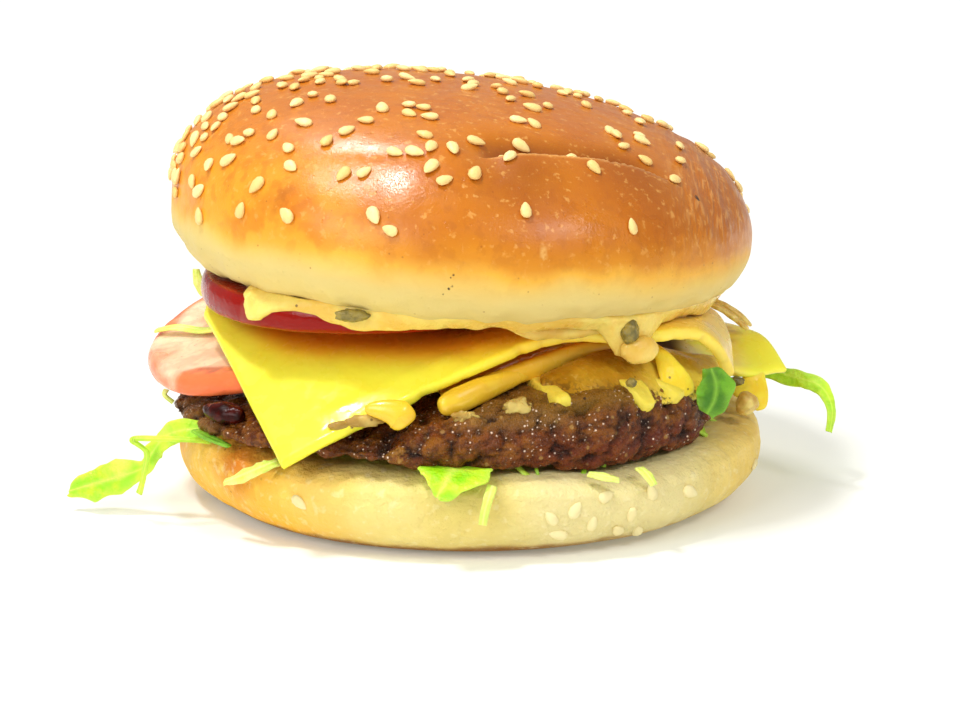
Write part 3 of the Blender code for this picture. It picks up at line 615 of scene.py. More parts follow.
class Finish:
    """A material in the making. Its methods add nodes and return sockets; place is the position in
    millimetres."""

    def __init__(self, name, **constants):
        self.material = bpy.data.materials.new(name)
        self.material.use_nodes = True
        self.tree = self.material.node_tree
        self.shader = self.tree.nodes["Principled BSDF"]
        for socket, value in constants.items():
            self.shader.inputs[socket.replace("_", " ")].default_value = value
        spot = self.put("ShaderNodeTexCoord", {})
        links = {0: spot.outputs["Object"], "Scale": 1.0 / MM}
        self.place = self.put("ShaderNodeVectorMath", links, operation="SCALE").outputs[0]

    def put(self, kind, links, **settings):
        """Adds a node to the material."""
        return put(self.tree, kind, links, **settings)

    def mask(self, name):
        """A mask that the mesh carries."""
        return self.put("ShaderNodeAttribute", {}, attribute_name=name).outputs["Fac"]

    def group(self, tree, **values):
        """What a shader group puts out at the place, with its own values."""
        node = self.put("ShaderNodeGroup", {}, node_tree=tree)
        self.tree.links.new(self.place, node.inputs["Position"])
        for socket, value in values.items():
            node.inputs[socket].default_value = value
        return node.outputs[0]

    def mottle(self, size, low=0.4, high=0.6, detail=3.0):
        """Cloudy patches."""
        return self.group(MOTTLE, Size=size, Low=low, High=high, Detail=detail)

    def specks(self, size, radius, share):
        """Scattered dots."""
        return self.group(SPECKS, Size=size, Radius=radius, Share=share)

    def grain(self, size, fine):
        """Surface grain."""
        return self.group(GRAIN, Size=size, Fine=fine)

    def times(self, first, second):
        """One number times another."""
        return calculate(self.tree, "MULTIPLY", first, second)

    def add(self, value, share, base):
        """The base with a share of the value added to it."""
        return calculate(self.tree, "MULTIPLY_ADD", value, share, base)

    def vector(self, operation, *vectors):
        """A vector sum, or the number that a length or a distance comes to."""
        node = self.put("ShaderNodeVectorMath", dict(enumerate(vectors)), operation=operation)
        return node.outputs["Value" if operation in ("LENGTH", "DISTANCE") else "Vector"]

    def fit(self, *values):
        """A smooth change while a value goes from one number to another."""
        return fit(self.tree, *values)

    def spot(self, centre, radius):
        """A ragged spot round a point: 1 at its middle, falling to 0 from half the radius to all of it."""
        away = self.vector("DISTANCE", self.place, centre)
        away = self.add(self.mottle(0.8, 0.3, 0.7), 0.5 * radius, away)
        return self.fit(away, 0.5 * radius, radius, 1.0, 0.0)

    def ramp(self, value, stops):
        """A colour read off a row of (place, colour) stops."""
        node = self.put("ShaderNodeValToRGB", {0: value})
        elements = node.color_ramp.elements
        while len(elements) < len(stops):
            elements.new(0.5)
        for element, (place, colour) in zip(elements, stops):
            element.position = place
            element.color = tone(*colour)
        return node.outputs[0]

    def blend(self, mask, first, second, strength=1.0):
        """The first colour where the mask is 0, the second where it is 1."""
        if strength != 1.0:
            mask = self.times(mask, strength)
        colours = [tone(*value) if isinstance(value, tuple) else value for value in (first, second)]
        node = self.put("ShaderNodeMix", {0: mask, 6: colours[0], 7: colours[1]}, data_type="RGBA")
        return node.outputs[2]

    def paint(self, base, *coats):
        """Colours laid over a base one after another. Each coat is a mask or the name of one that the mesh
        carries, a colour, and a strength where it isn't 1."""
        for mask, colour, *strength in coats:
            if isinstance(mask, str):
                mask = self.mask(mask)
            base = self.blend(mask, base, colour, *strength)
        return base

    def bump(self, height, depth, base=None):
        """A normal from heights from 0 to 1; depth is in millimetres."""
        links = {"Height": height, "Strength": 1.0, "Distance": depth * MM}
        if base is not None:
            links["Normal"] = base
        return self.put("ShaderNodeBump", links).outputs[0]

    def feed(self, colour, roughness=None, normal=None):
        """Feeds the shader and returns the finished material."""
        for socket, value in (("Base Color", colour), ("Roughness", roughness), ("Normal", normal)):
            if value is not None:
                self.tree.links.new(value, self.shader.inputs[socket])
        return self.material


def soft(weight, red, green, blue):
    """Shader constants for light that goes under the surface: how much does, and how far in millimetres."""
    radius = (red * MM, green * MM, blue * MM)
    return {"Subsurface_Weight": weight, "Subsurface_Radius": radius, "Subsurface_Scale": 1.0}


# Dark specks on the crust: a place and a radius each; the last is a small hole, where the dark is painted
# shade.
CRUST_SPECKS = (
    ((-2.4, -52.6, 49.2), 0.42), ((-2.9, -52.6, 48.8), 0.3), ((-2.6, -52.6, 47.3), 0.5),
    ((-3.2, -52.5, 46.9), 0.38), ((-4.2, -52.2, 45.9), 0.45), ((-4.8, -52.2, 45.8), 0.3),
    ((22.0, -46.0, 49.0), 0.35), ((39.9, -26.3, 58.2), 1.1),
)
SCUFF_PLACE = (12.4, -52.0, 52.6)
# Colours from the least baked crust to the most, and from the darkest grains of meat to the palest.
CRUST_TONES = (
    (0.0, (218, 194, 118)), (0.2, (228, 190, 94)), (0.4, (234, 174, 56)), (0.62, (214, 138, 26)),
    (1.0, (194, 112, 20)),
)
MEAT_TONES = (
    (0.0, (94, 42, 8)), (0.3, (122, 60, 10)), (0.55, (140, 82, 18)), (0.8, (106, 44, 8)),
    (1.0, (168, 116, 40)),
)
# Where the crust's glaze is glossiest: a place and how far it spreads.
GLAZED_PLACES = (
    ((-17.9, -38.0, 68.3), 5.0), ((-11.6, -45.0, 64.1), 4.6), ((20.5, -45.3, 56.4), 3.4),
    ((28.0, -41.0, 58.6), 2.4), ((31.8, -41.0, 53.8), 2.6),
)


def crust_finish():
    """Glossy browned crust, from a cream rim over gold to brown, with blotches and pores. Shade is painted
    behind its fold, and a highlight along the fold's rolled edge.
    """
    finish = Finish("bun_crust", Specular_IOR_Level=0.34, **soft(0.06, 3.0, 1.5, 0.6))
    bake = finish.mask("bake")
    side = finish.mask("side")
    golden = finish.times(finish.mask("gold"), finish.fit(bake, 0.02, 0.62))
    drawn = finish.vector("MULTIPLY", finish.place, (1.5, 0.12, 0.4))
    lines = finish.put("ShaderNodeTexNoise", {"Vector": drawn, "Scale": 1.0, "Detail": 2.0}).outputs[0]
    scuff = finish.vector("MULTIPLY", finish.vector("SUBTRACT", finish.place, SCUFF_PLACE), (1.0, 0.3, 0.3))
    scuff = finish.fit(finish.vector("LENGTH", scuff), 0.1, 1.1, 1.0, 0.0)
    crust = finish.paint(
        finish.ramp(bake, CRUST_TONES),
        (finish.times(finish.mottle(13.0, 0.4, 0.64), bake), (176, 92, 20), 0.5),
        (finish.times(golden, finish.mottle(9.0, 0.2, 0.5)), (244, 164, 42), 0.75),
        (finish.times(golden, finish.mottle(7.0, 0.5, 0.62, 2.0)), (216, 124, 22), 0.6),
        # painted shade behind the fold, and a darker right side
        ("dark", (112, 50, 4), 0.85),
        # painted highlight along the fold's rolled edge
        ("crest", (236, 176, 96), 0.6),
        (finish.times(finish.mottle(2.4, 0.5, 0.62, 4.0), bake), (160, 84, 20), 0.25),
        (finish.times(finish.mottle(1.3, 0.58, 0.7, 4.0), bake), (238, 184, 100), 0.35),
        (finish.times(finish.fit(lines, 0.5, 0.66), side), (232, 172, 96), 0.4),
        (finish.specks(1.9, 0.12, 0.4), (140, 72, 20), 0.45),
        # dark specks, and painted shade in the small hole
        *((finish.spot(centre, radius), (50, 26, 10)) for centre, radius in CRUST_SPECKS),
        (finish.times(scuff, finish.mottle(1.1, 0.36, 0.6, 4.0)), (240, 204, 124), 0.75),
    )
    normal = finish.bump(finish.add(finish.specks(1.3, 0.2, 0.5), -0.7, finish.grain(1.5, 0.5)), 0.05)
    normal = finish.bump(finish.grain(0.42, 0.6), 0.03, normal)
    normal = finish.bump(finish.times(lines, side), 0.35, normal)
    shine = finish.add(finish.mottle(3.0, 0.4, 0.65), 0.1, finish.fit(bake, 0.15, 0.6, 0.55, 0.3))
    return finish.feed(crust, finish.add(finish.mask("gloss"), -0.24, shine), normal)


def crumb_finish():
    """Soft pale bread with gold and toasted places and a brown line round its base."""
    finish = Finish("bun_crumb", Specular_IOR_Level=0.2, **soft(0.15, 4.0, 2.5, 1.0))
    toast = finish.mask("toast")
    bread = finish.paint(
        finish.blend(finish.mottle(11.0, 0.38, 0.62), (238, 218, 136), (228, 206, 118)),
        ("pale", (230, 216, 160), 0.7),
        ("gold", (254, 190, 50)),
        (finish.times(toast, finish.mottle(4.0, 0.3, 0.5)), (208, 108, 8), 0.9),
        ("base", (150, 92, 34), 0.9),
        (finish.mottle(1.7, 0.56, 0.7, 4.0), (252, 240, 190), 0.3),
        (finish.times(finish.specks(1.5, 0.22, 0.45), toast), (100, 40, 10), 0.9),
        (finish.specks(7.0, 0.05, 0.5), (150, 100, 40), 0.6),
    )
    height = finish.add(finish.mottle(4.5, 0.3, 0.7), 1.2, finish.grain(0.9, 0.5))
    return finish.feed(bread, finish.fit(finish.mottle(2.0), 0.0, 1.0, 0.5, 0.68), finish.bump(height, 0.3))


def meat_finish():
    """Wet, glistening minced meat: brown and grey grains with painted shade in the pits between them,
    painted glints, and a film of sauce in places.
    """
    finish = Finish("patty_meat", Specular_IOR_Level=0.3)
    film = finish.mask("sauce")
    glints = finish.times(finish.specks(0.75, 0.3, 0.5), finish.mottle(2.2, 0.46, 0.56, 4.0))
    meat = finish.paint(
        finish.ramp(finish.mask("grain"), MEAT_TONES),
        (finish.mottle(1.1, 0.45, 0.65), (72, 26, 4), 0.65),
        ("red", (112, 34, 12), 0.5),
        ("grey", (142, 102, 44), 0.6),
        (finish.specks(2.4, 0.22, 0.35), (200, 158, 88), 0.5),
        # painted shade in the pits between the grains and in the crack
        ("pit", (30, 8, 2), 0.92),
        (film, (150, 108, 28), 0.65),
        (finish.times(finish.specks(1.6, 0.22, 0.5), film), (46, 26, 8), 0.9),
        (glints, (255, 230, 206), 0.85),
    )
    wet = finish.fit(finish.mottle(0.9, 0.4, 0.62), 0.0, 1.0, 0.06, 0.45)
    return finish.feed(meat, wet, finish.bump(finish.grain(0.6, 0.8), 0.42))


def cheese_finish(name, shaded):
    """Smooth processed cheese with sauce stains, more orange where shade is painted under a slice, tomato
    or crown, near black where shade is painted in the hollow under the upper slice's right fold, and paler
    where a highlight is painted along the rim.
    """
    finish = Finish(name, Specular_IOR_Level=0.35, **soft(0.25, 4.0, 2.0, 0.4))
    cave = finish.mask("cave")
    base = finish.paint(
        finish.blend(finish.mottle(16.0, 0.35, 0.65), (255, 246, 70), (255, 240, 60)),
        # painted shade, orange, under the slice, tomato or crown above
        ("deep", (254, 178, 32)),
        ("shade", shaded),
        # painted highlight along the rim
        ("edge", (255, 246, 110), 0.5),
        ("stain", (240, 206, 100), 0.85),
        # painted shade in the hollow under the upper slice's right fold
        (cave, (60, 20, 6), 0.95),
        (finish.specks(5.0, 0.05, 0.35), (150, 104, 30), 0.5),
    )
    height = finish.add(finish.mottle(7.0, 0.3, 0.7), 1.5, finish.grain(2.4, 0.15))
    shine = finish.add(cave, 0.6, finish.fit(finish.mottle(4.0), 0.0, 1.0, 0.16, 0.3))
    return finish.feed(base, shine, finish.bump(height, 0.07))


def tomato_finish(name, flesh, skin, depth):
    """Wet tomato: glossy skin round the wall, paler veined flesh, dressing where it lies on top, and a
    highlight painted along the lower edge of the wall.
    """
    finish = Finish(name, Specular_IOR_Level=0.2, **soft(depth, 4.0, 1.0, 0.5))
    covered = finish.mask("dressing")
    dressing = finish.paint(
        finish.blend(finish.mottle(5.0, 0.42, 0.62), (246, 216, 182), (240, 190, 156)),
        (finish.mottle(1.3, 0.56, 0.7, 4.0), (222, 176, 144), 0.5),
        (finish.specks(1.6, 0.16, 0.4), (150, 130, 104), 0.6),
    )
    fruit = finish.paint(
        finish.blend(finish.mottle(5.0, 0.36, 0.6), flesh, tuple(0.8 * value for value in flesh)),
        ("skin", skin),
        # painted highlight along the lower edge of the wall
        ("line", (216, 84, 40), 0.7),
        (covered, dressing),
    )
    shine = finish.fit(covered, 0.0, 1.0, 0.12, 0.45)
    return finish.feed(fruit, shine, finish.bump(finish.grain(1.4, 0.5), 0.12))


def sauce_finish(name, light, deep, pale=None):
    """Thick dressing with specks of pepper, deeper in colour in places. With a pale colour, the masks
    pale and pepper tell where it turns pale and where the specks crowd together."""
    finish = Finish(name, Specular_IOR_Level=0.24, **soft(0.25, 3.0, 1.5, 0.6))
    base = finish.blend(finish.mottle(6.0, 0.36, 0.62), light, deep)
    base = finish.blend(finish.mottle(1.2, 0.6, 0.72), base, (250, 220, 130), 0.25)
    if pale:
        crowd = finish.times(finish.mottle(0.7, 0.46, 0.6), finish.mask("pepper"))
        base = finish.paint(base, ("pale", pale), (crowd, (74, 44, 10), 0.8))
    base = finish.blend(finish.specks(3.4, 0.09, 0.5), base, (96, 60, 26), 0.75)
    shine = finish.fit(finish.mottle(2.2), 0.0, 1.0, 0.16, 0.36)
    return finish.feed(base, shine, finish.bump(finish.grain(1.8, 0.4), 0.2))


def leaf_finish(name, blade, deep, rib):
    """Crisp lettuce: a paler rib and rim, deeper places and fine cross veins."""
    finish = Finish(name, Specular_IOR_Level=0.35, **soft(0.3, 1.0, 2.0, 0.4))
    base = finish.paint(
        finish.blend(finish.mottle(4.0, 0.38, 0.62), blade, deep),
        ("vein", rib, 0.7),
        ("edge", rib, 0.5),
        (finish.mottle(7.0, 0.5, 0.7, 1.0), rib, 0.5),
    )
    height = finish.add(finish.mottle(1.5, 0.3, 0.7), 1.0, finish.grain(0.6, 0.4))
    return finish.feed(base, finish.fit(finish.mottle(2.0), 0.0, 1.0, 0.3, 0.5), finish.bump(height, 0.16))


def plain_finish(name, light, deep, size, rough, depth, **constants):
    """A small piece's finish: two tones in patches of the given size, with grain."""
    finish = Finish(name, **constants)
    base = finish.blend(finish.mottle(size, 0.36, 0.62), light, deep)
    shine = finish.fit(finish.mottle(size), 0.0, 1.0, rough, rough + 0.15)
    return finish.feed(base, shine, finish.bump(finish.grain(0.4 * size, 0.5), depth))


def toned_finish(name, light, deep, rough, **constants):
    """A finish for many small things: each has its own share of the two tones."""
    finish = Finish(name, **constants)
    base = finish.blend(finish.mask("tone"), light, deep)
    base = finish.blend(finish.mottle(0.8, 0.45, 0.7), base, deep, 0.4)
    shine = finish.fit(finish.mottle(0.6), 0.0, 1.0, rough, rough + 0.15)
    return finish.feed(base, shine, finish.bump(finish.grain(0.5, 0.5), 0.05))


# ---------------------------------------------------------------- camera, light and floor


# Each lamp's name, place, target, size and power.
LAMPS = (
    ("lamp_overhead_back", (-133.0, 197.0, 560.0), (0.0, 0.0, 40.0), 80.0, 0.9),
    ("lamp_overhead_front", (-190.0, -120.0, 560.0), (0.0, 0.0, 40.0), 80.0, 1.8),
    ("lamp_front_left", (-330.0, -480.0, 330.0), (0.0, 0.0, 30.0), 260.0, 1.5),
    ("lamp_front_right", (330.0, -330.0, 420.0), (0.0, 0.0, 30.0), 130.0, 0.9),
)
# How far the floor reaches from its middle, in metres.
FLOOR_REACH = 4.0


def aim(thing, place, target):
    """Puts a lamp or camera at a place, looking at a target; both in millimetres."""
    way = np.array(target) - np.array(place)
    turn = math.atan2(-way[0], way[1])
    rise = math.atan2(way[2], math.hypot(way[0], way[1]))
    thing.location = [value * MM for value in place]
    thing.rotation_euler = (0.5 * math.pi + rise, 0.0, turn)


def camera(target=(1.9, 0.0, 23.5), distance=400.0, elevation=math.radians(12.5), lens=78.95):
    """The camera, straight in front and a little above."""
    data = bpy.data.cameras.new("camera")
    data.lens = lens
    data.clip_start = 10.0 * MM
    seen = bpy.data.objects.new("camera", data)
    bpy.context.scene.collection.objects.link(seen)
    back = distance * math.cos(elevation)
    aim(seen, (target[0], target[1] - back, target[2] + distance * math.sin(elevation)), target)
    bpy.context.scene.camera = seen


def softbox(name, place, target, size, power):
    """A square area lamp."""
    data = bpy.data.lights.new(name, "AREA")
    data.size = size * MM
    data.energy = power
    lamp = bpy.data.objects.new(name, data)
    bpy.context.scene.collection.objects.link(lamp)
    aim(lamp, place, target)


def studio():
    """White surroundings, two lamps overhead, a fill from each side of the front, and a white floor that
    glows more with the distance."""
    scene = bpy.context.scene
    scene.view_settings.view_transform = "Standard"
    world = bpy.data.worlds.new("surroundings")
    world.use_nodes = True
    glow = world.node_tree.nodes["Background"]
    glow.inputs["Color"].default_value = (1.0, 0.99, 0.97, 1.0)
    glow.inputs["Strength"].default_value = 0.45
    scene.world = world
    for lamp in LAMPS:
        softbox(*lamp)
    corners = [(x * FLOOR_REACH, y * FLOOR_REACH, 0.0) for x, y in ((-1, -1), (1, -1), (1, 1), (-1, 1))]
    mesh = bpy.data.meshes.new("floor")
    mesh.from_pydata(corners, [], [(0, 1, 2, 3)])
    finish = Finish("floor", Emission_Strength=1.0, Specular_IOR_Level=0.1, Roughness=0.9)
    away = finish.vector("LENGTH", finish.place)
    glow = finish.blend(finish.fit(away, 60.0, 900.0), (116, 120, 110), (222, 222, 222))
    finish.tree.links.new(glow, finish.shader.inputs["Emission Color"])
    mesh.materials.append(finish.feed(finish.blend(finish.mottle(900.0), (229, 229, 227), (231, 231, 229))))
    floor = bpy.data.objects.new("floor", mesh)
    bpy.context.scene.collection.objects.link(floor)


# ---------------------------------------------------------------- bun


def tilt_crown(points):
    """Points of the crown's own frame, tilted to the front about X, then to the right about Y, and moved
    to the crown's centre."""
    y, z = turned(points[..., 1], points[..., 2], CROWN_TILT_FRONT)
    z, x = turned(z, points[..., 0], CROWN_TILT_RIGHT)
    return xyz(x, y, z) + CROWN_CENTRE


def crown_rings(around=480):
    """The crown's plain form in its own frame: a recessed underside, a lip of a quarter ellipse and a
    dome whose section is a superellipse that shifts to the left as it rises. Its rows lie closer where
    the fold runs. Returns the rings and the climb of each dome row, in degrees."""
    angle = np.linspace(0.0, TURN, around, endpoint=False)
    climb = np.radians(np.concatenate([
        np.linspace(0.0, 38.0, 44, endpoint=False),
        np.linspace(38.0, 62.0, 66, endpoint=False),
        np.linspace(62.0, 87.0, 28),
    ]))
    uneven = wobble(angle, (2, 3, 4), 5)
    inner = np.linspace(0.04, 1.0, 10) * CROWN_RECESS_RADIUS
    dome_rows = len(climb)
    lip = CROWN_RADIUS - CROWN_LIP_INSET
    step = np.linspace(0.0, 1.0, 9)[1:-1]
    turn = np.linspace(0.5 * math.pi, 0.0, 28)[:-1]
    share = np.sin(climb) ** (2.0 / CROWN_SIDE_POWER)
    radius = np.concatenate([
        inner,
        CROWN_RECESS_RADIUS + step * (lip - CROWN_RECESS_RADIUS),
        CROWN_RADIUS - CROWN_LIP_INSET * (1.0 - np.cos(turn)),
        CROWN_RADIUS * np.cos(climb) ** (2.0 / CROWN_PLAN_POWER),
    ])
    height = np.concatenate([
        np.full(10, CROWN_RECESS - CROWN_LIP_DROP),
        CROWN_RECESS * (1.0 - smooth(step)) - CROWN_LIP_DROP,
        -CROWN_LIP_DROP * np.sin(turn),
        CROWN_RISE * share,
    ])
    rise = np.concatenate([np.zeros(len(radius) - dome_rows), share])
    ripple = np.where(rise > 0.0, 1.0 - rise, past(radius, 40.0, 10.0))
    reach = radius[:, None] + 0.5 * uneven * ripple[:, None]
    x = reach * np.cos(angle) + (CROWN_SUMMIT_SHIFT * rise**2)[:, None]
    y = reach * np.sin(angle)
    return xyz(x, y, height[:, None]), np.degrees(climb)


def crown_relief(points):
    """How far the crust stands out: slow and quick lumps, a fold with a valley behind a rolled edge, a
    hollow at its start with a swell and a dip beside it, ripples round the right side and wrinkles at the
    lower left. Also returns where shade is painted behind the fold and at two places beside it, where a
    highlight is painted along the fold's rolled edge, and the right side."""
    x, y, z = points[..., 0], points[..., 1], points[..., 2]
    relief = 0.45 * lumps(points, 20.0, 41) + 0.16 * lumps(points, 7.0, 42)
    start, end = np.array(FOLD_START), np.array(FOLD_END)
    length = np.linalg.norm(end - start)
    way = (end - start) / length
    along = ((x - start[0]) * way[0] + (y - start[1]) * way[1]) / length
    ahead = (x - start[0]) * way[1] - (y - start[1]) * way[0] + 0.4 * lumps(points, 6.0, 43) + FOLD_SHIFT
    ahead = ahead + 1.6 * (along - 0.5) ** 2
    ends = past(along, -0.14, 0.2) * before(along, 1.08, 0.4) * past(z, 53.0, 5.0)
    behind = np.minimum(ahead, 0.0)
    valley = -FOLD_DEPTH * bell(behind, 4.0) * smooth(0.5 - 2.0 * ahead)
    roll = FOLD_ROLL * past(ahead, -0.3, 0.6) * bell(np.maximum(ahead, 0.0), 8.0)
    relief += ends * (valley + roll)
    relief -= mound(points, FOLD_HOLLOW_PLACE, 4.5)
    relief += 1.1 * mound(points, CROWN_SWELL_PLACE, 9.0) - 0.8 * mound(points, CROWN_DIP_PLACE, 7.0)
    side = past(x, 30.0, 14.0) * past(z, 47.0, 6.0)
    relief += 0.16 * side * np.sin(1.5 * (x + 0.35 * z) + 2.0 * lumps(points, 12.0, 44))
    relief += 0.4 * lumps(points, 4.0, 47, 2) * before(x, -16.0, 12.0) * before(z, 53.0, 5.0)
    shadow = ends * bell(behind + 0.4, 4.6) * before(ahead, 0.3, 0.4) * (1.0 - 0.5 * along)
    shadow += 0.55 * mound(points, CROWN_SHADE_LEFT, 8.0) + 0.5 * mound(points, CROWN_SHADE_RIGHT, 9.0)
    # painted highlight along the fold's rolled edge
    crest = ends * bell(ahead - 0.35, 0.4)
    return relief, shadow, crest, side


def crown(material):
    """The crown with its relief and a rough torn lip. Returns the dome's rings, their outward directions
    and the climb of each row."""
    local, climb = crown_rings()
    rings = tilt_crown(local)
    normals = ring_normals(rings)
    lip = before(local[..., 2], -2.0, 4.0) * smooth((np.hypot(local[..., 0], local[..., 1]) - 40.0) / 5.0)
    relief, shadow, crest, side = crown_relief(rings)
    relief += lip * (0.5 * lumps(rings, 3.4, 45, 2) - 0.1)
    rings = rings + normals * relief[..., None]
    x, z = rings[..., 0], rings[..., 2]
    masks = {
        "bake": smooth((local[..., 2] + 4.1 + 1.6 * lumps(rings, 9.0, 46, 2) + 0.03 * x) / 13.0),
        "gold": before(x, -6.0, 26.0) * before(z, 74.0, 14.0),
        # painted shade behind the fold and beside it, and a crust that is darker towards the right
        "dark": np.clip(shadow + 0.3 * past(x, 26.0, 20.0) * past(z, 50.0, 8.0), 0.0, 1.0),
        # painted highlight along the fold's rolled edge
        "crest": crest,
        "side": side,
        "gloss": np.clip(sum(mound(rings, centre, spread) for centre, spread in GLAZED_PLACES), 0.0, 1.0),
    }
    ring_piece("bun_crown_crust", rings, material, "bun_crust", ("bun_crown",), masks)
    return rings[-len(climb):], ring_normals(rings)[-len(climb):], climb


SEED_LENGTH = 1.6
SEED_WIDTH = 1.05
SEED_HEIGHT = 0.58


def seed_form():
    """A sesame seed of half length 1 along X, with a blunt end and a pointed one: five rings of eight
    points, closed by a point at each end."""
    turn = np.radians(np.array([24.0, 55.0, 92.0, 128.0, 156.0]))
    x = np.cos(turn)
    radius = np.sin(turn) * (1.0 - 0.3 * x)
    angle = np.linspace(0.0, TURN, 8, endpoint=False)
    rings = xyz(x[:, None], radius[:, None] * np.cos(angle), radius[:, None] * np.sin(angle))
    points = np.concatenate([rings.reshape(-1, 3), [[1.04, 0.0, 0.0], [-1.0, 0.0, 0.0]]])
    index = np.arange(40).reshape(5, 8)
    beside = np.roll(index, -1, axis=1)
    walls = np.stack([index[:-1], index[1:], beside[1:], beside[:-1]], axis=-1).reshape(-1, 4)
    front = np.stack([np.full(8, 40), index[0], beside[0]], axis=-1)
    back = np.stack([np.full(8, 41), beside[-1], index[-1]], axis=-1)
    return points, walls, np.concatenate([front, back])


def seed_piece(name, places, normals, seed, material, scale=1.0, sink=0.05):
    """Seeds lying on a surface, each turned its own way about the surface's normal."""
    rng = np.random.default_rng(seed)
    count = len(places)
    spin = rng.uniform(0.0, TURN, count)
    size = scale * rng.uniform(0.88, 1.1, count)
    normals = unit(normals + rng.normal(0.0, 0.1, (count, 3)))
    first = unit(np.cross(normals, np.array([0.31, 0.12, 0.94])))
    second = np.cross(normals, first)
    long_way = first * np.cos(spin)[:, None] + second * np.sin(spin)[:, None]
    frames = np.stack([long_way, np.cross(normals, long_way), normals], axis=-1)
    sizes = np.stack([size * SEED_LENGTH, size * SEED_WIDTH, size * SEED_HEIGHT], axis=-1)
    centres = places + normals * (size * (SEED_HEIGHT - sink - 0.1))[:, None]
    form, walls, ends = seed_form()
    points = np.einsum("nij,nvj->nvi", frames, form[None] * sizes[:, None]) + centres[:, None]
    shift = (np.arange(count) * len(form))[:, None, None]
    quads = (walls[None] + shift).reshape(-1, 4)
    triangles = (ends[None] + shift).reshape(-1, 3)
    masks = {"tone": np.repeat(rng.uniform(0.0, 1.0, count), len(form))}
    return make_piece(name, points.reshape(-1, 3), quads, triangles, material, masks, "bun_crumb", ())


# Sesame seeds on the crown's front, as azimuths in degrees along rows of equal climb.
SEED_ROWS = {
    74: (-143, -29), 72: (-147,), 70: (-42, -21), 68: (-158,), 66: (-166,), 64: (-98, -92, -43, -31),
    62: (-179, -156, -141, -130, -107), 60: (-163, -97, -8), 58: (-90, -59), 56: (-139, -55), 54: (-110,),
    52: (-163,), 50: (-30,), 48: (-166, -149, -141, -128, -114, -93, -79, -67, -32, -5), 46: (-23,),
    44: (-74, -56, -36, -26), 42: (-118, -92, -87), 40: (-134, -101, -96, -74), 38: (-141, -36, -12),
    36: (-167, -156, -127, -56), 34: (-146, -142, -93, -84, -23), 32: (-107,), 30: (-124, -112, -91, -36, 8),
    26: (-141,), 22: (-147, -77), 20: (-131,), 16: (-105, -56), 14: (-152,), 12: (-162, -148, -122, -102),
    10: (-134,), 4: (-146,),
}


# How many seeds are tried over the whole crown and round its left edge, and how far apart their centres
# have to be.
SCATTERED_SEEDS = 700
EDGE_SEEDS = 34
SEED_GAP = 2.5


def ring_columns(azimuth, rings):
    """The columns of the rings that lie nearest to azimuths in degrees."""
    count = rings.shape[1]
    return np.round((azimuth % 360.0) / 360.0 * count).astype(int) % count


def crown_seeds(surface, material):
    """The rows of seeds on the front, and a seeded scatter over the top, the left and the back."""
    rings, normals, climbs = surface
    rng = np.random.default_rng(77)
    azimuths = [azimuth for row in SEED_ROWS.values() for azimuth in row]
    heights = [climb for climb, row in SEED_ROWS.items() for _ in row]
    front = np.array([azimuths, heights], float).T
    front += rng.uniform(-0.4, 0.4, front.shape)
    around = rng.uniform(-180.0, 180.0, SCATTERED_SEEDS)
    climb = np.degrees(np.arcsin(rng.uniform(0.12, 1.0, SCATTERED_SEEDS) ** 1.3))
    unseen = (around <= -160.0) | (around >= 4.0) | (climb >= 75.0)
    edge = np.stack([rng.uniform(-179.0, -155.0, EDGE_SEEDS), rng.uniform(6.0, 74.0, EDGE_SEEDS)], axis=-1)
    spots = np.concatenate([front, edge, np.stack([around, climb], axis=-1)[unseen]])
    rows = np.round(np.interp(spots[:, 1], climbs, np.arange(len(climbs)))).astype(int)
    columns = ring_columns(spots[:, 0], rings)
    places, ways = rings[rows, columns], normals[rows, columns]
    kept = []
    for index, place in enumerate(places):
        if index < len(front) or all(np.linalg.norm(place - places[other]) > SEED_GAP for other in kept):
            kept.append(index)
    return seed_piece("sesame_seeds", places[kept], ways[kept], 5, material)


# Upright creases in the heel's side: azimuth in degrees, depth, and width in degrees. Seeds pressed into
# it: azimuth in degrees and height.
HEEL_CREASES = (
    (-31.0, 0.5, 1.0), (-39.0, 0.45, 0.8), (-47.0, 0.4, 1.1), (-63.0, 0.22, 0.9), (-121.0, 0.22, 1.0),
)
HEEL_SEEDS = (
    (-56, 10.5), (-60, 7.0), (-65, 11.0), (-68, 6.4), (-71, 9.2), (-75, 8.0), (-57, 3.2), (-62, 4.2),
    (-74, 4.6), (-122, 9.0), (-46, 9.5), (-20, 8.0), (35, 9.0), (80, 7.0), (140, 8.5),
)


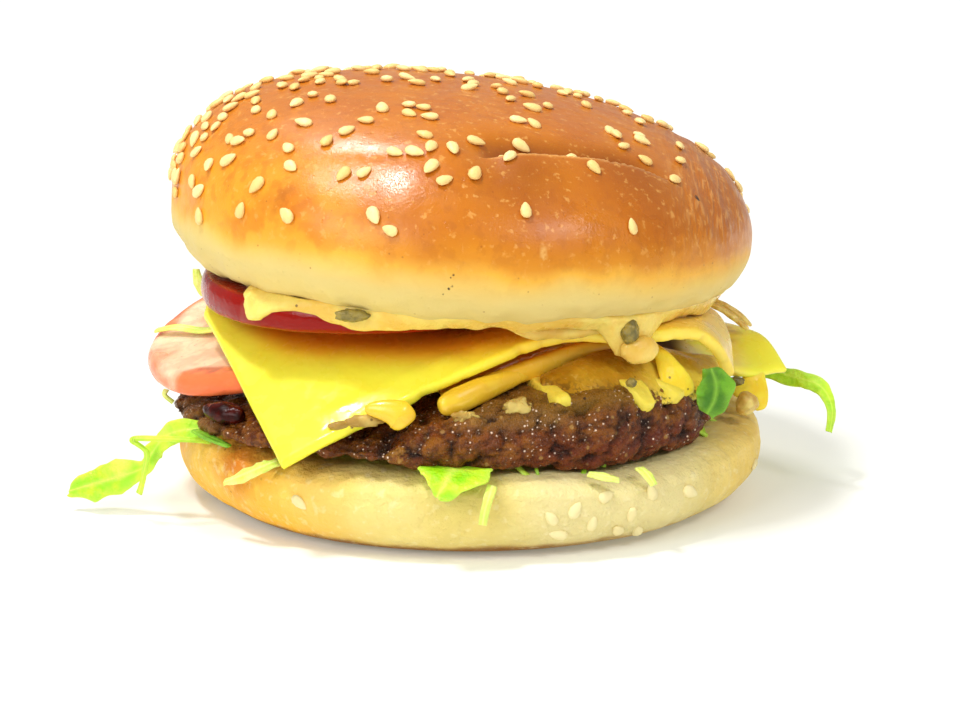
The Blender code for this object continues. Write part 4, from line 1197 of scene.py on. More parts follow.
def heel(material):
    """The heel: a flat base, a side of two quarter ellipses that meet at its widest ring, and a cut top;
    soft lumps all round and upright creases in front."""
    angle = np.linspace(0.0, TURN, 420, endpoint=False)
    uneven = wobble(angle, (2, 3, 5), 3)
    low = np.linspace(0.0, 0.5 * math.pi, 34)
    high = np.linspace(0.0, 0.5 * math.pi, 26)
    radius = np.concatenate([
        np.array([0.05, 0.4, 0.75, 0.93]) * HEEL_BASE_RADIUS,
        HEEL_BASE_RADIUS + (HEEL_RADIUS - HEEL_BASE_RADIUS) * np.sin(low),
        HEEL_CUT_RADIUS + (HEEL_RADIUS - 0.4 - HEEL_CUT_RADIUS) * np.cos(high),
        np.array([0.96, 0.85, 0.6, 0.3, 0.05]) * HEEL_CUT_RADIUS,
    ])
    height = np.concatenate([
        np.zeros(4),
        HEEL_WIDEST * (1.0 - np.cos(low)),
        HEEL_SHOULDER + (HEEL_TOP - HEEL_SHOULDER) * np.sin(high),
        np.full(5, HEEL_TOP),
    ])
    reach = radius[:, None] + 0.6 * uneven * smooth(height / HEEL_WIDEST)[:, None]
    x, y = reach * np.cos(angle), reach * np.sin(angle)
    dent = 1.6 * hump(x, y, HEEL_DENT_PLACE, 17.0) * smooth(height / HEEL_TOP)[:, None]
    rings = xyz(x, y, height[:, None] - dent)
    side = smooth(height / 2.5)[:, None] * before(height, HEEL_TOP + 0.5, 2.0)[:, None]
    relief = 0.5 * lumps(rings, 15.0, 51) + 0.2 * lumps(rings, 5.0, 52)
    for way, deep, wide in HEEL_CREASES:
        bent = np.degrees(angle) - 360.0 - way + 1.2 * lumps(rings, 7.0, 53)
        relief -= deep * bell(bent, wide)
    rings = pushed_out(rings, side * relief)
    rings[..., 2] += 2.1 * mound(rings, HEEL_SWELL_PLACE, 9.0)
    x, z = rings[..., 0], rings[..., 2]
    masks = {
        "pale": past(x, 2.0, 14.0) * before(x, 48.0, 14.0),
        "gold": np.clip(
            before(x, -12.0, 24.0) * (0.7 + 0.3 * before(z, 9.0, 7.0))
            + 0.3 * before(z, 3.5, 3.0) + 0.3 * past(x, 38.0, 14.0), 0.0, 1.0
        ),
        "toast": mound(rings, HEEL_TOAST_FRONT, 6.0) + 0.5 * mound(rings, HEEL_TOAST_LEFT, 5.0),
        "base": smooth((2.9 + 0.9 * lumps(rings, 4.0, 54, 2) - z) / 1.5) * (1.0 - 0.6 * past(x, 4.0, 30.0)),
    }
    ring_piece("bun_heel_bread", rings, material, "bun_crumb", ("bun_heel",), masks)
    return rings


def heel_seeds(rings, material):
    """A few pale seeds pressed into the heel's side, most of them in front, by azimuth and height."""
    azimuths, heights = np.array(HEEL_SEEDS).T
    rows = slice(5, 50)
    side = rings[rows]
    ways = ring_normals(rings)[rows]
    columns = ring_columns(azimuths, rings)
    found = np.argmin(np.abs(side[:, columns, 2] - heights), axis=0)
    return seed_piece("heel_seeds", side[found, columns], ways[found, columns], 9, material, 0.95, 0.42)


# ---------------------------------------------------------------- layers of the filling


def layer_rings(centre, outline, under, top, edge, steps, rim_steps, angle):
    """Rings of a layer that fills its outline between two height functions, at the given angles or at a
    number of even ones. Over the outer share named edge, top and underside close on each other along a
    quarter of an ellipse. Also returns each row's share of the radius and its side, -1 below to 1 above."""
    if np.ndim(angle) == 0:
        angle = np.linspace(0.0, TURN, angle, endpoint=False)
    radius = outline(angle)
    turn = np.linspace(0.0, 0.5 * math.pi, rim_steps + 1)[1:]
    shares = np.concatenate([(1.0 - edge) * np.linspace(0.03, 1.0, steps), 1.0 - edge + edge * np.sin(turn)])
    openings = np.concatenate([np.ones(steps), np.cos(turn)])
    share = np.concatenate([shares, shares[-2::-1]])[:, None]
    side = np.concatenate([-openings, openings[-2::-1]])[:, None]
    x = centre[0] + share * radius * np.cos(angle)
    y = centre[1] + share * radius * np.sin(angle)
    low, high = under(x, y), top(x, y)
    rings = xyz(x, y, 0.5 * (low + high) + 0.5 * side * (high - low))
    return rings, share + 0.0 * x, side + 0.0 * x


def patty_top(x, y):
    """Height of the patty's dome: it falls with a power of the distance from the centre, less so towards
    the thick side, and is pressed in where the upper cheese hangs over it."""
    dx, dy = x - PATTY_CENTRE[0], y - PATTY_CENTRE[1]
    turn = np.angle(np.exp(1j * (np.arctan2(dy, dx) - PATTY_THICK_DIRECTION)))
    drop = PATTY_DROP - PATTY_THICK_GAIN * bell(turn, PATTY_THICK_SPREAD)
    share = np.hypot(dx, dy) / PATTY_DOME_RADIUS
    dent = PATTY_DENT_DEPTH * hump(x, y, PATTY_DENT_PLACE, 11.0)
    return PATTY_TOP + PATTY_SLOPE * x - drop * share**PATTY_DOME_POWER - dent


def patty_under(x, y):
    """Height of the patty's underside, whose rim sags past the lettuce at the front right."""
    dx, dy = x - PATTY_CENTRE[0], y - PATTY_CENTRE[1]
    sag = 3.2 * hump(dx, dy, PATTY_SAG_PLACE, 32.0)
    return PATTY_UNDER - sag * smooth((np.hypot(dx, dy) - 44.0) / 7.0)


def lower_cheese_top(x, y):
    """Height of the lower cheese: on the patty's dome, its front edge lifted a little and its right
    corner held up."""
    lift = 2.6 * hump(x, y, LOWER_CHEESE_FRONT_LIFT, 14.0) + 5.4 * hump(x, y, LOWER_CHEESE_RIGHT_LIFT, 14.0)
    return patty_top(x, y) + LOWER_CHEESE_GAP + CHEESE_THICKNESS + lift


def upper_cheese_level(x, y):
    """Height of the upper cheese before it bends: level at its left, then a slope to the right with a
    low arch."""
    arch = 1.2 * hump(x, y, UPPER_CHEESE_ARCH, 10.0)
    return UPPER_CHEESE_LEVEL - UPPER_CHEESE_SLOPE * np.maximum(x, UPPER_CHEESE_SLOPE_START) + arch


def upper_cheese_fall(x, y):
    """How far the upper cheese's hanging front corner has sunk at a plan position."""
    way, radius, most = FRONT_BEND["way"], FRONT_BEND["radius"], FRONT_BEND["most"]
    out = (x - PATTY_CENTRE[0]) * way[0] + (y - PATTY_CENTRE[1]) * way[1] - FRONT_BEND["start"]
    round_end = radius * math.sin(most)
    turn = np.arcsin(np.clip(out, 0.0, round_end) / radius)
    return radius * (1.0 - np.cos(turn)) + np.maximum(out - round_end, 0.0) * math.tan(most)


def crown_lip(x, y):
    """Height of the plane through the crown's lip."""
    fall = math.tan(CROWN_TILT_RIGHT) * (x - LIP_PIVOT[0])
    return CROWN_CENTRE[2] - CROWN_LIP_DROP - fall + math.tan(CROWN_TILT_FRONT) * (y - LIP_PIVOT[1])


def patty_outline(angle):
    """Radius of the patty: uneven, with a bulge at its front right."""
    rough = 0.7 * wobble(angle, (2, 3, 7), 13) + 0.7 * wobble(angle, (11, 14, 17), 14)
    beyond = np.angle(np.exp(1j * (angle - math.radians(312))))
    return PATTY_RADIUS + rough + 1.8 * bell(beyond, math.radians(26))


def patty_broad(points):
    """The patty's broad lumps, in millimetres."""
    return 0.75 * lumps(points, 8.0, 64, 2)


def patty(material):
    """The patty: minced meat as packed grains of three sizes with pits between them, and a crack at the
    front left."""
    rings, share, _ = layer_rings(PATTY_CENTRE, patty_outline, patty_under, patty_top, 0.08, 26, 40, 560)
    normals = ring_normals(rings)
    rings[..., 2] -= 0.3
    bent = rings + 1.1 * lumps(rings, 4.0, 61, 2)[..., None]
    grains, number = crumbs(bent, 3.3, 62)
    middle, second = crumbs(bent, 1.9, 65)
    fine, _ = crumbs(rings, 1.0, 63)
    x, z = rings[..., 0], rings[..., 2]
    crack = mound(rings, CRACK_PLACE, 2.6) + 0.8 * mound(rings, CRACK_END_PLACE, 2.4)
    relief = 1.15 * (grains - 0.6) + 0.7 * (middle - 0.55) + 0.25 * (fine - 0.5) + patty_broad(rings)
    outer = past(share, 0.78, 0.12)
    rings = rings + normals * (outer * (relief - 1.8 * crack))[..., None]
    pit = 1.25 - 0.75 * grains - 0.55 * middle - 0.35 * fine
    masks = {
        "grain": 0.6 * number + 0.4 * second,
        # painted shade in the pits between the grains and in the crack
        "pit": np.clip(1.5 * pit + crack, 0.0, 1.0),
        "sauce": past(x, 4.0, 14.0) * past(z, 23.8, 2.4) * before(rings[..., 1], -20.0, 6.0),
        "red": before(z, 21.5, 3.0) * past(x, 6.0, 10.0),
        "grey": past(z, 21.5, 2.5) * before(np.abs(x - 8.0), 14.0, 8.0) + before(x, -40.0, 6.0),
    }
    return ring_piece("patty_meat", rings, material, "patty_meat", ("patty",), masks)


# The sauce on the patty: its first and last azimuth in degrees round the patty's centre, the height of its
# rim, and where it runs down past that: azimuth, half width in degrees and how far it runs.
COAT_START = -84.0
COAT_END = -16.0
COAT_RIM = 27.3
COAT_DRIPS = ((-66.0, 2.8, 1.4), (-48.4, 2.8, 4.4), (-38.0, 4.4, 4.6), (-31.0, 2.4, 3.0), (-24.0, 3.0, 3.6))


def sauce_coat(material):
    """Sauce that has run over the patty's front right. It follows the patty's broad lumps; where it ends,
    its surface dives under the meat, along a rim of drips."""
    azimuth = np.linspace(COAT_START, COAT_END, 260)
    rings, _, _ = layer_rings(
        PATTY_CENTRE, patty_outline, patty_under, patty_top, 0.08, 30, 44, np.radians(azimuth)
    )
    rows = slice(rings.shape[0] // 2 - 18, rings.shape[0] - 16)
    along = np.gradient(rings, axis=1)
    normals = unit(np.cross(along, np.gradient(rings, axis=0)))[rows]
    rings = rings[rows]
    rings[..., 2] -= 0.3
    uneven = azimuth + 0.8 * lumps(rings, 2.6, 66)
    run = np.zeros_like(uneven)
    for centre, wide, deep in COAT_DRIPS:
        run = np.maximum(run, deep * np.exp(-(((uneven - centre) / wide) ** 4)))
    rim = COAT_RIM - run + 0.5 * lumps(rings, 2.2, 67, 2)
    ends = past(azimuth, COAT_START, 6.0) * before(azimuth, COAT_END, 5.0)
    above = rings[..., 2] - rim
    cover = past(above, -0.2, 1.6) * ends
    drip = smooth(run / 1.4) * before(rings[..., 2], COAT_RIM + 1.6, 2.0)
    height = -1.1 + 1.7 * np.sqrt(cover) + patty_broad(rings) + 0.2 * cover * lumps(rings, 2.6, 68, 2)
    height = height + 0.7 * drip * cover
    grid = np.swapaxes(rings + normals * height[..., None], 0, 1)
    columns, rows = (np.arange(count) for count in grid.shape[:2])
    to_rim = np.minimum(np.minimum(columns, columns[::-1])[:, None], np.minimum(rows, rows[::-1]))
    pepper = before(above, 3.0, 2.4) * (1.0 - drip) * smooth((24.0 - rings[..., 0]) / 8.0 + 0.6)
    masks = {
        "pale": np.clip(drip + 0.7 * past(rings[..., 0], 26.0, 12.0), 0.0, 1.0).T,
        "pepper": pepper.T,
    }
    return slab_piece("sauce_coat", grid, 0.5, 0.2 * to_rim, material, "sauce", (), masks, 0.4)


def lower_cheese(material):
    """The lower slice: a square sheet whose upper face follows the patty's dome. Its front rim has
    softened to a fat lip, its left corner has melted away, and its right corner hangs."""
    length = rim_spaced(LOWER_CHEESE_SIDE, 190)
    along, across = np.meshgrid(length, length, indexing="ij")
    rim = np.minimum(along + across - np.hypot(along, across), LOWER_CHEESE_SIDE - np.maximum(along, across))
    gone = 8.5 * bell(across, 18.0) + 6.0 * bell(across - 10.0, 6.0)
    melted = along + gone * np.exp(-along / 20.0)
    turn = LOWER_CHEESE_TURN
    x = LOWER_CHEESE_CORNER[0] + melted * math.cos(turn) - across * math.sin(turn)
    y = LOWER_CHEESE_CORNER[1] + melted * math.sin(turn) + across * math.cos(turn)
    grid = xyz(x, y, lower_cheese_top(x, y))
    lip = bell(across, 3.4) * before(melted, 52.0, 16.0)
    end = lip * np.exp(-along / 6.0)
    grid[..., 2] += 0.22 * lumps(grid, 12.0, 71) + 0.9 * lip + 0.6 * end
    hang = past(x, 46.0, 9.0) * bell(across, 11.0)
    grid[..., 2] += 3.2 * hump(x, y, LOWER_CHEESE_RIGHT_FOLD, 6.5) - 0.8 * hang
    front = before(y, 10.0, 14.0)
    # painted shade in the hollow under the upper slice's right fold
    cave = past(x, 27.0, 4.0) * before(x, 41.0, 4.0) * past(y, -22.0, 6.0) * front
    masks = {
        "shade": 0.4 * before(x, 30.0, 16.0) * past(across, 3.0, 4.0) * front,
        # painted shade, orange, under the upper slice
        "deep": 0.8 * before(x, 44.0, 16.0) * front,
        "cave": cave,
        # painted highlight along the lip's rim
        "edge": 0.5 * np.exp(-rim / 1.0) * past(x, 4.0, 14.0) * before(x, 30.0, 8.0),
        "stain": 0.7 * before(x, 53.0, 4.0) * past(x, 44.0, 3.0),
    }
    thickness = CHEESE_THICKNESS + 1.5 * lip + 1.2 * end
    return slab_piece(
        "cheese_slice_lower", grid, thickness, rim, material, "cheese", ("cheese_lower",), masks, 1.7, 2.2
    )


def bend_down(distance, start, radius, most):
    """A sheet that runs level to start, turns down round a cylinder until it slopes at the angle most,
    then runs straight. Returns how far out a point lies in plan and how far it has sunk."""
    turn = np.clip((distance - start) / radius, 0.0, most)
    beyond = np.maximum(distance - start - radius * most, 0.0)
    out = np.minimum(distance, start) + radius * np.sin(turn) + beyond * math.cos(most)
    return out, radius * (1.0 - np.cos(turn)) + beyond * math.sin(most)


def upper_cheese_grid(along, across):
    """The upper slice's top face: its front corner hangs and its right and back corners fold down, each
    round a cylinder. Its left edge is tucked in towards the back."""
    tuck = np.maximum(across - UPPER_CHEESE_BACK_TUCK, 0.0) * (1.0 - along / UPPER_CHEESE_SIDE)
    x = UPPER_CHEESE_CORNER[0] + along * math.cos(UPPER_CHEESE_TURN)
    x = x - (across - tuck) * math.sin(UPPER_CHEESE_LEFT_TURN)
    y = UPPER_CHEESE_CORNER[1] + along * math.sin(UPPER_CHEESE_TURN)
    y = y + across * math.cos(UPPER_CHEESE_LEFT_TURN)
    z = upper_cheese_level(x, y)
    for bend in (FRONT_BEND, RIGHT_BEND, BACK_BEND):
        way = bend["way"]
        distance = (x - PATTY_CENTRE[0]) * way[0] + (y - PATTY_CENTRE[1]) * way[1]
        out, sunk = bend_down(distance, bend["start"], bend["radius"], bend["most"])
        x = x + (out - distance) * way[0]
        y = y + (out - distance) * way[1]
        z = z - sunk
    return xyz(x, y, z)


def upper_cheese(material):
    """The upper slice as a sheet with a torn front edge that droops a little."""
    length = rim_spaced(UPPER_CHEESE_SIDE, 210)
    along, across = np.meshgrid(length, length, indexing="ij")
    line = on_x(along)
    torn = np.clip(lumps(line, 2.1, 72, 2), 0.0, 1.0) * past(along, 10.0, 12.0)
    ragged = 1.2 * torn * np.exp(-across / 1.2) - 1.1 * np.exp(-across / 6.0)
    grid = upper_cheese_grid(along - 1.1 * np.exp(-along / 6.0), across + ragged)
    x, y = grid[..., 0], grid[..., 1]
    lift = 2.1 * bell(along - 53.0, 13.0) * before(across, 18.0, 12.0)
    lift = lift + 1.3 * hump(x, y, UPPER_CHEESE_FRONT_LIFT, 9.0)
    lift = lift + 1.4 * hump(x, y, UPPER_CHEESE_RIGHT_LIFT, 11.0)
    curl = 0.3 * bell(across - 4.0, 1.6) * past(along, 5.0, 6.0) * before(along, 46.0, 12.0)
    grid[..., 2] += lift + curl * (1.0 + 0.8 * lumps(line, 4.0, 75)) + 0.16 * lumps(grid, 13.0, 73)
    rim = np.minimum(np.minimum(along, across), UPPER_CHEESE_SIDE - np.maximum(along, across))
    # How far a point lies past the upper tomato's edge or the crown's sauce edge, for the painted shade
    # under them.
    beyond = np.hypot(x - UPPER_TOMATO_CENTRE[0], y - UPPER_TOMATO_CENTRE[1]) - UPPER_TOMATO_RADIUS
    outside = np.hypot(x - CROWN_CENTRE[0], y - CROWN_CENTRE[1]) - SAUCE_RADIUS
    cover = np.maximum(np.minimum(beyond + 11.5, outside + 5.0), 0.0)
    cover = cover / (1.0 + 0.3 * past(x, -18.0, 26.0))
    masks = {
        "shade": 0.6 * bell(cover, 2.6) * (1.0 - 0.8 * past(x, 2.0, 16.0)),
        # painted shade, orange, under the tomato and the crown's sauce, and towards the right under the
        # crown
        "deep": np.clip(np.exp(-((cover / 4.8) ** 3)) + 0.5 * past(x, -4.0, 26.0), 0.0, 1.0),
        "cave": 0.0 * x,
        # painted highlight along the rim
        "edge": np.exp(-rim / 0.5) * past(x, 4.0, 16.0),
        "stain": past(x, 30.0, 8.0) * (0.5 + 0.5 * past(across, 0.7, 1.0)),
    }
    return slab_piece(
        "cheese_slice_upper", grid, CHEESE_THICKNESS, rim, material, "cheese", ("cheese_upper",), masks,
        roundness=0.8, squareness=2.4,
    )


def tomato_rings(centre, radius, seed, under, top, steps, rim_steps):
    """A slice of uneven radius between two height functions."""

    def outline(angle):
        return radius + 0.5 * wobble(angle, (2, 3, 5), seed)

    return layer_rings(centre, outline, under, top, 0.05, steps, rim_steps, 280)


def lower_tomato_under(x, y):
    """Underside of the lower tomato: level at its right, falling to the front left past a pivot, and
    never below the cheese."""
    fall = 0.24 * (LOWER_TOMATO_PIVOT[0] - x) + 0.17 * (LOWER_TOMATO_PIVOT[1] - y)
    level = LOWER_TOMATO_LEVEL - 0.5 * (fall + np.sqrt(fall**2 + 1.0))
    return np.maximum(level, lower_cheese_top(x, y) + TOUCH_GAP)


def lower_tomato_top(x, y):
    """Top of the lower tomato, pressed down by the upper cheese."""
    free = lower_tomato_under(x, y) + LOWER_TOMATO_THICKNESS
    ceiling = upper_cheese_level(x, y) - 1.08 * upper_cheese_fall(x, y) - CHEESE_THICKNESS - 0.5
    return np.maximum(np.minimum(free, ceiling), lower_tomato_under(x, y) + 1.5)


def lower_tomato(material):
    """The lower slice, hanging over the patty's left edge, with dressing on it."""
    rings, share, side = tomato_rings(
        LOWER_TOMATO_CENTRE, LOWER_TOMATO_RADIUS, 17, lower_tomato_under, lower_tomato_top, 24, 16
    )
    rings = pushed_out(rings, 0.16 * lumps(rings, 5.0, 74, 2))
    x, y = rings[..., 0], rings[..., 1]
    leftward = before(x, -48.0, 8.0) * before(y, 2.0, 6.0)
    reach = 0.925 + 0.09 * leftward + 0.05 * lumps(rings, 6.0, 75, 2)
    spread = smooth((reach - share) / 0.04) * smooth((side + 0.9 * leftward) / 0.3)
    spread = spread * (1.0 - 0.75 * hump(x, y, LOWER_TOMATO_BARE_PLACE, 5.0))
    masks = {
        "skin": past(share, SKIN_SHARE, 0.02),
        "line": 0.0 * share,
        "dressing": spread * smooth(1.0 + 0.7 * lumps(rings * np.array([0.5, 0.25, 1.0]), 3.0, 76, 3)),
    }
    return ring_piece("tomato_slice_lower", rings, material, "tomato", ("tomato_lower",), masks)


def upper_tomato_under(x, y):
    """Underside of the upper tomato."""
    return UPPER_TOMATO_UNDER + 0.02 * (y - UPPER_TOMATO_CENTRE[1]) + 0.0 * x


def upper_tomato_top(x, y):
    """Top of the upper tomato, a wedge that is thicker at its left."""
    return UPPER_TOMATO_TOP - 0.055 * x + 0.03 * (y - UPPER_TOMATO_CENTRE[1])


def upper_tomato(material):
    """The upper slice, with dressing on its left end."""
    rings, share, side = tomato_rings(
        UPPER_TOMATO_CENTRE, UPPER_TOMATO_RADIUS, 21, upper_tomato_under, upper_tomato_top, 20, 18
    )
    rings = pushed_out(rings, 0.14 * lumps(rings, 5.0, 77, 2))
    streaks = smooth((lumps(rings * np.array([0.9, 0.9, 0.5]), 3.8, 78, 3) - 0.04) / 0.4)
    masks = {
        "skin": past(share, SKIN_SHARE, 0.02),
        # painted highlight along the lower edge of the wall
        "line": 0.15 * past(share, 0.95, 0.02) * before(side, -0.78, 0.06) * past(side, -0.95, 0.06),
        "dressing": 0.75 * streaks * mound(rings, UPPER_TOMATO_DRESSED_PLACE, 8.0),
    }
    return ring_piece("tomato_slice_upper", rings, material, "tomato", ("tomato_upper",), masks)


def sauce_layer(material):
    """The sauce under the crown: a film over the upper tomato that thickens to its right, where it lies
    on the upper cheese, with an uneven rim."""
    centre = UPPER_TOMATO_CENTRE

    def outline(angle):
        way = np.stack([np.cos(angle), np.sin(angle)], axis=-1)
        offset = np.array([centre[0] + 1.0, centre[1] - 1.0])
        along = way @ offset
        reach = SAUCE_RADIUS + 3.0 * np.clip(np.cos(angle), 0.0, 1.0) ** 2
        rough = 0.6 * (1.0 + wobble(angle, (6, 9, 13), 23)) + 0.5 * wobble(angle, (22, 31, 43), 24)
        return -along + np.sqrt(along**2 + reach**2 - offset @ offset) - rough

    def under(x, y):
        beyond = np.hypot(x - centre[0], y - centre[1]) - UPPER_TOMATO_RADIUS
        left = 1.0 - past(beyond, 6.2, 5.0)
        cheese = upper_cheese_level(x, y) + 0.4
        return cheese + (upper_tomato_top(x, y) + TOUCH_GAP - cheese) * left

    def top(x, y):
        reach = np.hypot(x - CROWN_CENTRE[0], y - CROWN_CENTRE[1])
        recess = CROWN_RECESS * (1.0 - smooth((reach - CROWN_RECESS_RADIUS + 3.0) / 4.0))
        return crown_lip(x, y) + recess - 0.4

    rings, share, _ = layer_rings(centre, outline, under, top, 0.05, 20, 14, 420)
    rough = past(share, 0.85, 0.1) * 0.3 * lumps(rings, 3.0, 79, 2)
    rings = pushed_out(rings, rough)
    return ring_piece("sauce_layer", rings, material, "sauce", ("sauce",))


def lettuce_bed(material):
    """Shredded lettuce between heel and patty: a core, and loose strips lying round it whose ends sag
    over the heel's shoulder. Each strip is a gently curved line, level near the middle."""

    def outline(angle):
        return 35.5 + 1.6 * wobble(angle, (5, 7, 9), 11)

    def under(x, y):
        return BED_LOW[2] + 0.0 * x

    def top(x, y):
        return BED_TOP - 0.5 - 0.3 * np.sin(0.5 * x) * np.sin(0.45 * y)

    rings, _, _ = layer_rings((-2.0, 0.0), outline, under, top, 0.06, 8, 5, 90)
    masks = {"tone": 0.0 * rings[..., 0]}
    ring_piece("lettuce_core", rings, material, "lettuce_pale", ("lettuce_bed",), masks)
    rng = np.random.default_rng(31)
    count = SHRED_COUNT
    way = rng.uniform(0.0, TURN, count)
    start = rng.uniform(29.0, 37.0, count)
    reach = rng.uniform(9.0, 17.0, count)
    skew = rng.uniform(-0.9, 0.9, count)
    curve = rng.uniform(-0.35, 0.35, count)
    station = np.linspace(0.0, 1.0, 9)
    turn = way[:, None] + (skew[:, None] * station + curve[:, None] * station**2) * reach[:, None] / 40.0
    bare = 6.0 * bell(np.degrees(turn) - 247.0, 13.0)
    out = np.minimum(start[:, None] + reach[:, None] * station * np.cos(0.8 * skew)[:, None], 50.6 - bare)
    base = rng.uniform(HEEL_TOP + 0.35, BED_TOP - 0.2, count)[:, None]
    sag = np.maximum(out - 46.0, 0.0) ** 1.6 * 0.22
    z = base + 0.2 * np.sin(5.0 * station + way[:, None]) - sag
    lines = xyz(out * np.cos(turn) - 1.0, out * np.sin(turn), z)
    sides = xyz(-np.sin(turn), np.cos(turn), rng.uniform(-0.5, 0.5, count)[:, None])
    width = rng.uniform(0.9, 2.3, count)[:, None] * (1.0 - 0.55 * station**3)
    tones = rng.uniform(0.0, 1.0, count)
    strip_bundle("lettuce_shreds", lines, sides, width, tones, material, "lettuce_green")


# ---------------------------------------------------------------- leaves, strands and small pieces


UP = (0.0, 0.0, 1.0)

# Leaves and shreds: the finish, the curl, ruffle and waves, the stations along and across, and then the
# points of the line, the widths and the ways that the face looks, each spread evenly along it.
LEAVES = {
    "leaf_left": (
        "green", 0.1, 0.7, 3.0, 160, 25,
        ((-42.0, -27.5, 17.0), (-48.0, -28.4, 17.2), (-53.4, -27.6, 16.0), (-56.6, -26.4, 12.4),
         (-58.6, -25.0, 9.2), (-63.4, -23.6, 7.0), (-68.6, -22.6, 5.2), (-73.0, -22.0, 3.8)),
        (2.6, 4.0, 4.0, 3.2, 2.6, 6.6, 6.2, 1.2),
        ((0.0, -0.7, 0.8), (0.0, -1.0, 0.5), (-0.5, -0.9, 0.4), (0.3, -1.0, 0.3), (-0.2, -1.0, 0.5),
         (-0.2, -0.9, 0.7)),
    ),
    "leaf_front": (
        "green", 0.02, 0.5, 2.0, 70, 41,
        ((-2.0, -45.5, 16.6), (-2.4, -51.4, 16.6), (-3.6, -56.0, 15.6), (-5.2, -57.9, 13.2)),
        (12.5, 14.0, 9.6, 1.4),
        ((0.0, -0.1, 1.0), (0.0, -0.5, 1.0), (0.0, -1.0, 0.8)),
    ),
    "leaf_right": (
        "dark", 0.16, 0.3, 1.5, 50, 31,
        ((42.2, -31.4, 29.0), (43.0, -32.6, 26.2), (42.6, -33.4, 23.6), (41.4, -33.8, 21.2)),
        (2.4, 6.8, 7.0, 2.8),
        ((0.2, -1.0, 0.2),),
    ),
    "strand_left": (
        "green", 0.1, 0.0, 5.0, 120, 9,
        ((-45.5, -30.0, 15.4), (-54.0, -33.0, 16.6), (-59.4, -32.0, 16.2), (-57.0, -31.5, 13.6),
         (-58.0, -30.0, 8.8), (-59.2, -28.0, 5.0)),
        (1.3, 1.1, 1.2, 1.1, 1.1, 1.3),
        ((-0.2, -1.0, 0.3),),
    ),
    "shred_dark": (
        "dark", 0.0, 0.0, 5.0, 40, 11,
        ((-48.6, -30.0, 17.6), (-45.4, -33.8, 17.2), (-41.6, -36.8, 16.5)),
        (1.4, 2.4, 1.4),
        (UP,),
    ),
    "shred_right": (
        "green", 0.1, 0.25, 3.0, 120, 17,
        ((50.5, 12.0, 19.0), (57.0, 9.0, 19.4), (62.5, 4.5, 19.0), (66.8, 0.0, 18.2), (68.6, -3.0, 14.8),
         (68.0, -5.0, 10.6)),
        (2.6, 3.2, 3.8, 3.6, 2.0, 1.2),
        ((0.2, -1.0, 0.5),),
    ),
    "shred_left_front": (
        "pale", 0.05, 0.15, 5.0, 60, 11,
        ((-30.5, -41.0, 15.8), (-34.5, -44.6, 15.0), (-38.8, -43.0, 12.8), (-42.6, -39.4, 10.4)),
        (2.2, 2.6, 2.8, 1.0),
        ((-0.5, -0.6, 0.6),),
    ),
    "shred_front": (
        "pale", 0.05, 0.0, 5.0, 60, 11,
        ((4.0, -54.8, 14.4), (3.4, -56.8, 12.9), (2.7, -57.0, 10.6), (2.3, -57.0, 8.0)),
        (1.8, 1.8, 1.7, 1.5),
        ((0.0, -1.0, 0.4),),
    ),
    "shred_mid_1": (
        "pale", 0.0, 0.0, 5.0, 40, 11,
        ((20.0, -49.4, 15.0), (22.6, -50.4, 14.8), (25.4, -50.0, 14.0)),
        (1.2, 1.8, 1.2),
        ((0.2, -0.6, 1.0),),
    ),
    "shred_mid_2": (
        "pale", 0.0, 0.0, 5.0, 40, 11,
        ((29.0, -45.4, 15.0), (30.2, -47.2, 14.2), (31.4, -48.4, 12.6)),
        (1.8, 2.0, 1.6),
        ((0.4, -0.6, 0.7),),
    ),
    "shred_back": (
        "pale", 0.05, 0.0, 5.0, 40, 11,
        ((-51.0, 6.0, 34.6), (-52.0, 5.5, 37.2), (-52.4, 5.0, 40.0)),
        (1.4, 2.6, 1.6),
        ((-0.4, -1.0, 0.0),),
    ),
    "shred_tomato": (
        "pale", 0.05, 0.0, 5.0, 60, 11,
        ((-59.6, 0.4, 29.3), (-55.6, -2.0, 30.4), (-50.0, -6.0, 30.6), (-46.0, -8.0, 31.6)),
        (1.6, 2.4, 2.4, 1.6),
        ((-0.2, -0.2, 1.0),),
    ),
    "strand_tomato": (
        "pale", 0.0, 0.0, 5.0, 30, 7,
        ((-55.6, -15.0, 21.3), (-56.0, -15.4, 20.2), (-54.4, -15.6, 18.8)),
        (1.0, 1.0, 1.0),
        ((-0.3, -1.0, 0.0),),
    ),
}

# Rounded chunks: the finish, the centre, the half sizes, the turn about Z, how lumpy it is, and the node
# that it stands for. Their order sets their random numbers.
CHUNKS = {
    "gherkin_slice_front": ("pickle", (-19.5, -46.4, 41.3), (2.9, 0.9, 1.1), 0.0, 0.25, "gherkin_front"),
    "gherkin_chunk_right": ("pickle", (27.5, -37.9, 36.9), (1.8, 1.5, 2.2), 0.6, 0.25, "gherkin_right"),
    "gherkin_bit": ("pickle", (27.6, -41.6, 28.7), (0.9, 0.7, 0.8), 0.0, 0.4),
    "onion_chunk": ("onion", (50.6, -16.2, 18.9), (2.1, 1.9, 2.1), 0.3, 0.3, "onion_piece"),
    "gherkin_bit_right": ("pickle", (49.0, -13.4, 22.4), (1.6, 1.0, 0.8), 0.2, 0.3),
    "sauce_lump_1": ("white", (-17.2, -49.6, 24.0), (3.4, 1.0, 1.0), 0.1, 0.25),
    "sauce_lump_2": ("white", (-21.0, -48.4, 22.9), (2.6, 0.9, 0.8), 0.2, 0.25),
    "sauce_lump_3": ("white", (-0.6, -49.7, 24.4), (2.3, 0.9, 1.3), 0.3, 0.5),
    "sauce_lump_4": ("white", (8.4, -47.6, 25.6), (2.6, 1.1, 1.9), 0.4, 0.5),
    "glazed_lump": ("glaze", (-42.7, -33.6, 21.4), (4.6, 2.2, 1.9), -0.62, 0.12),
    "sauce_mass_right": ("mass", (29.4, -36.2, 33.2), (3.8, 2.0, 2.5), 0.5, 0.1),
}

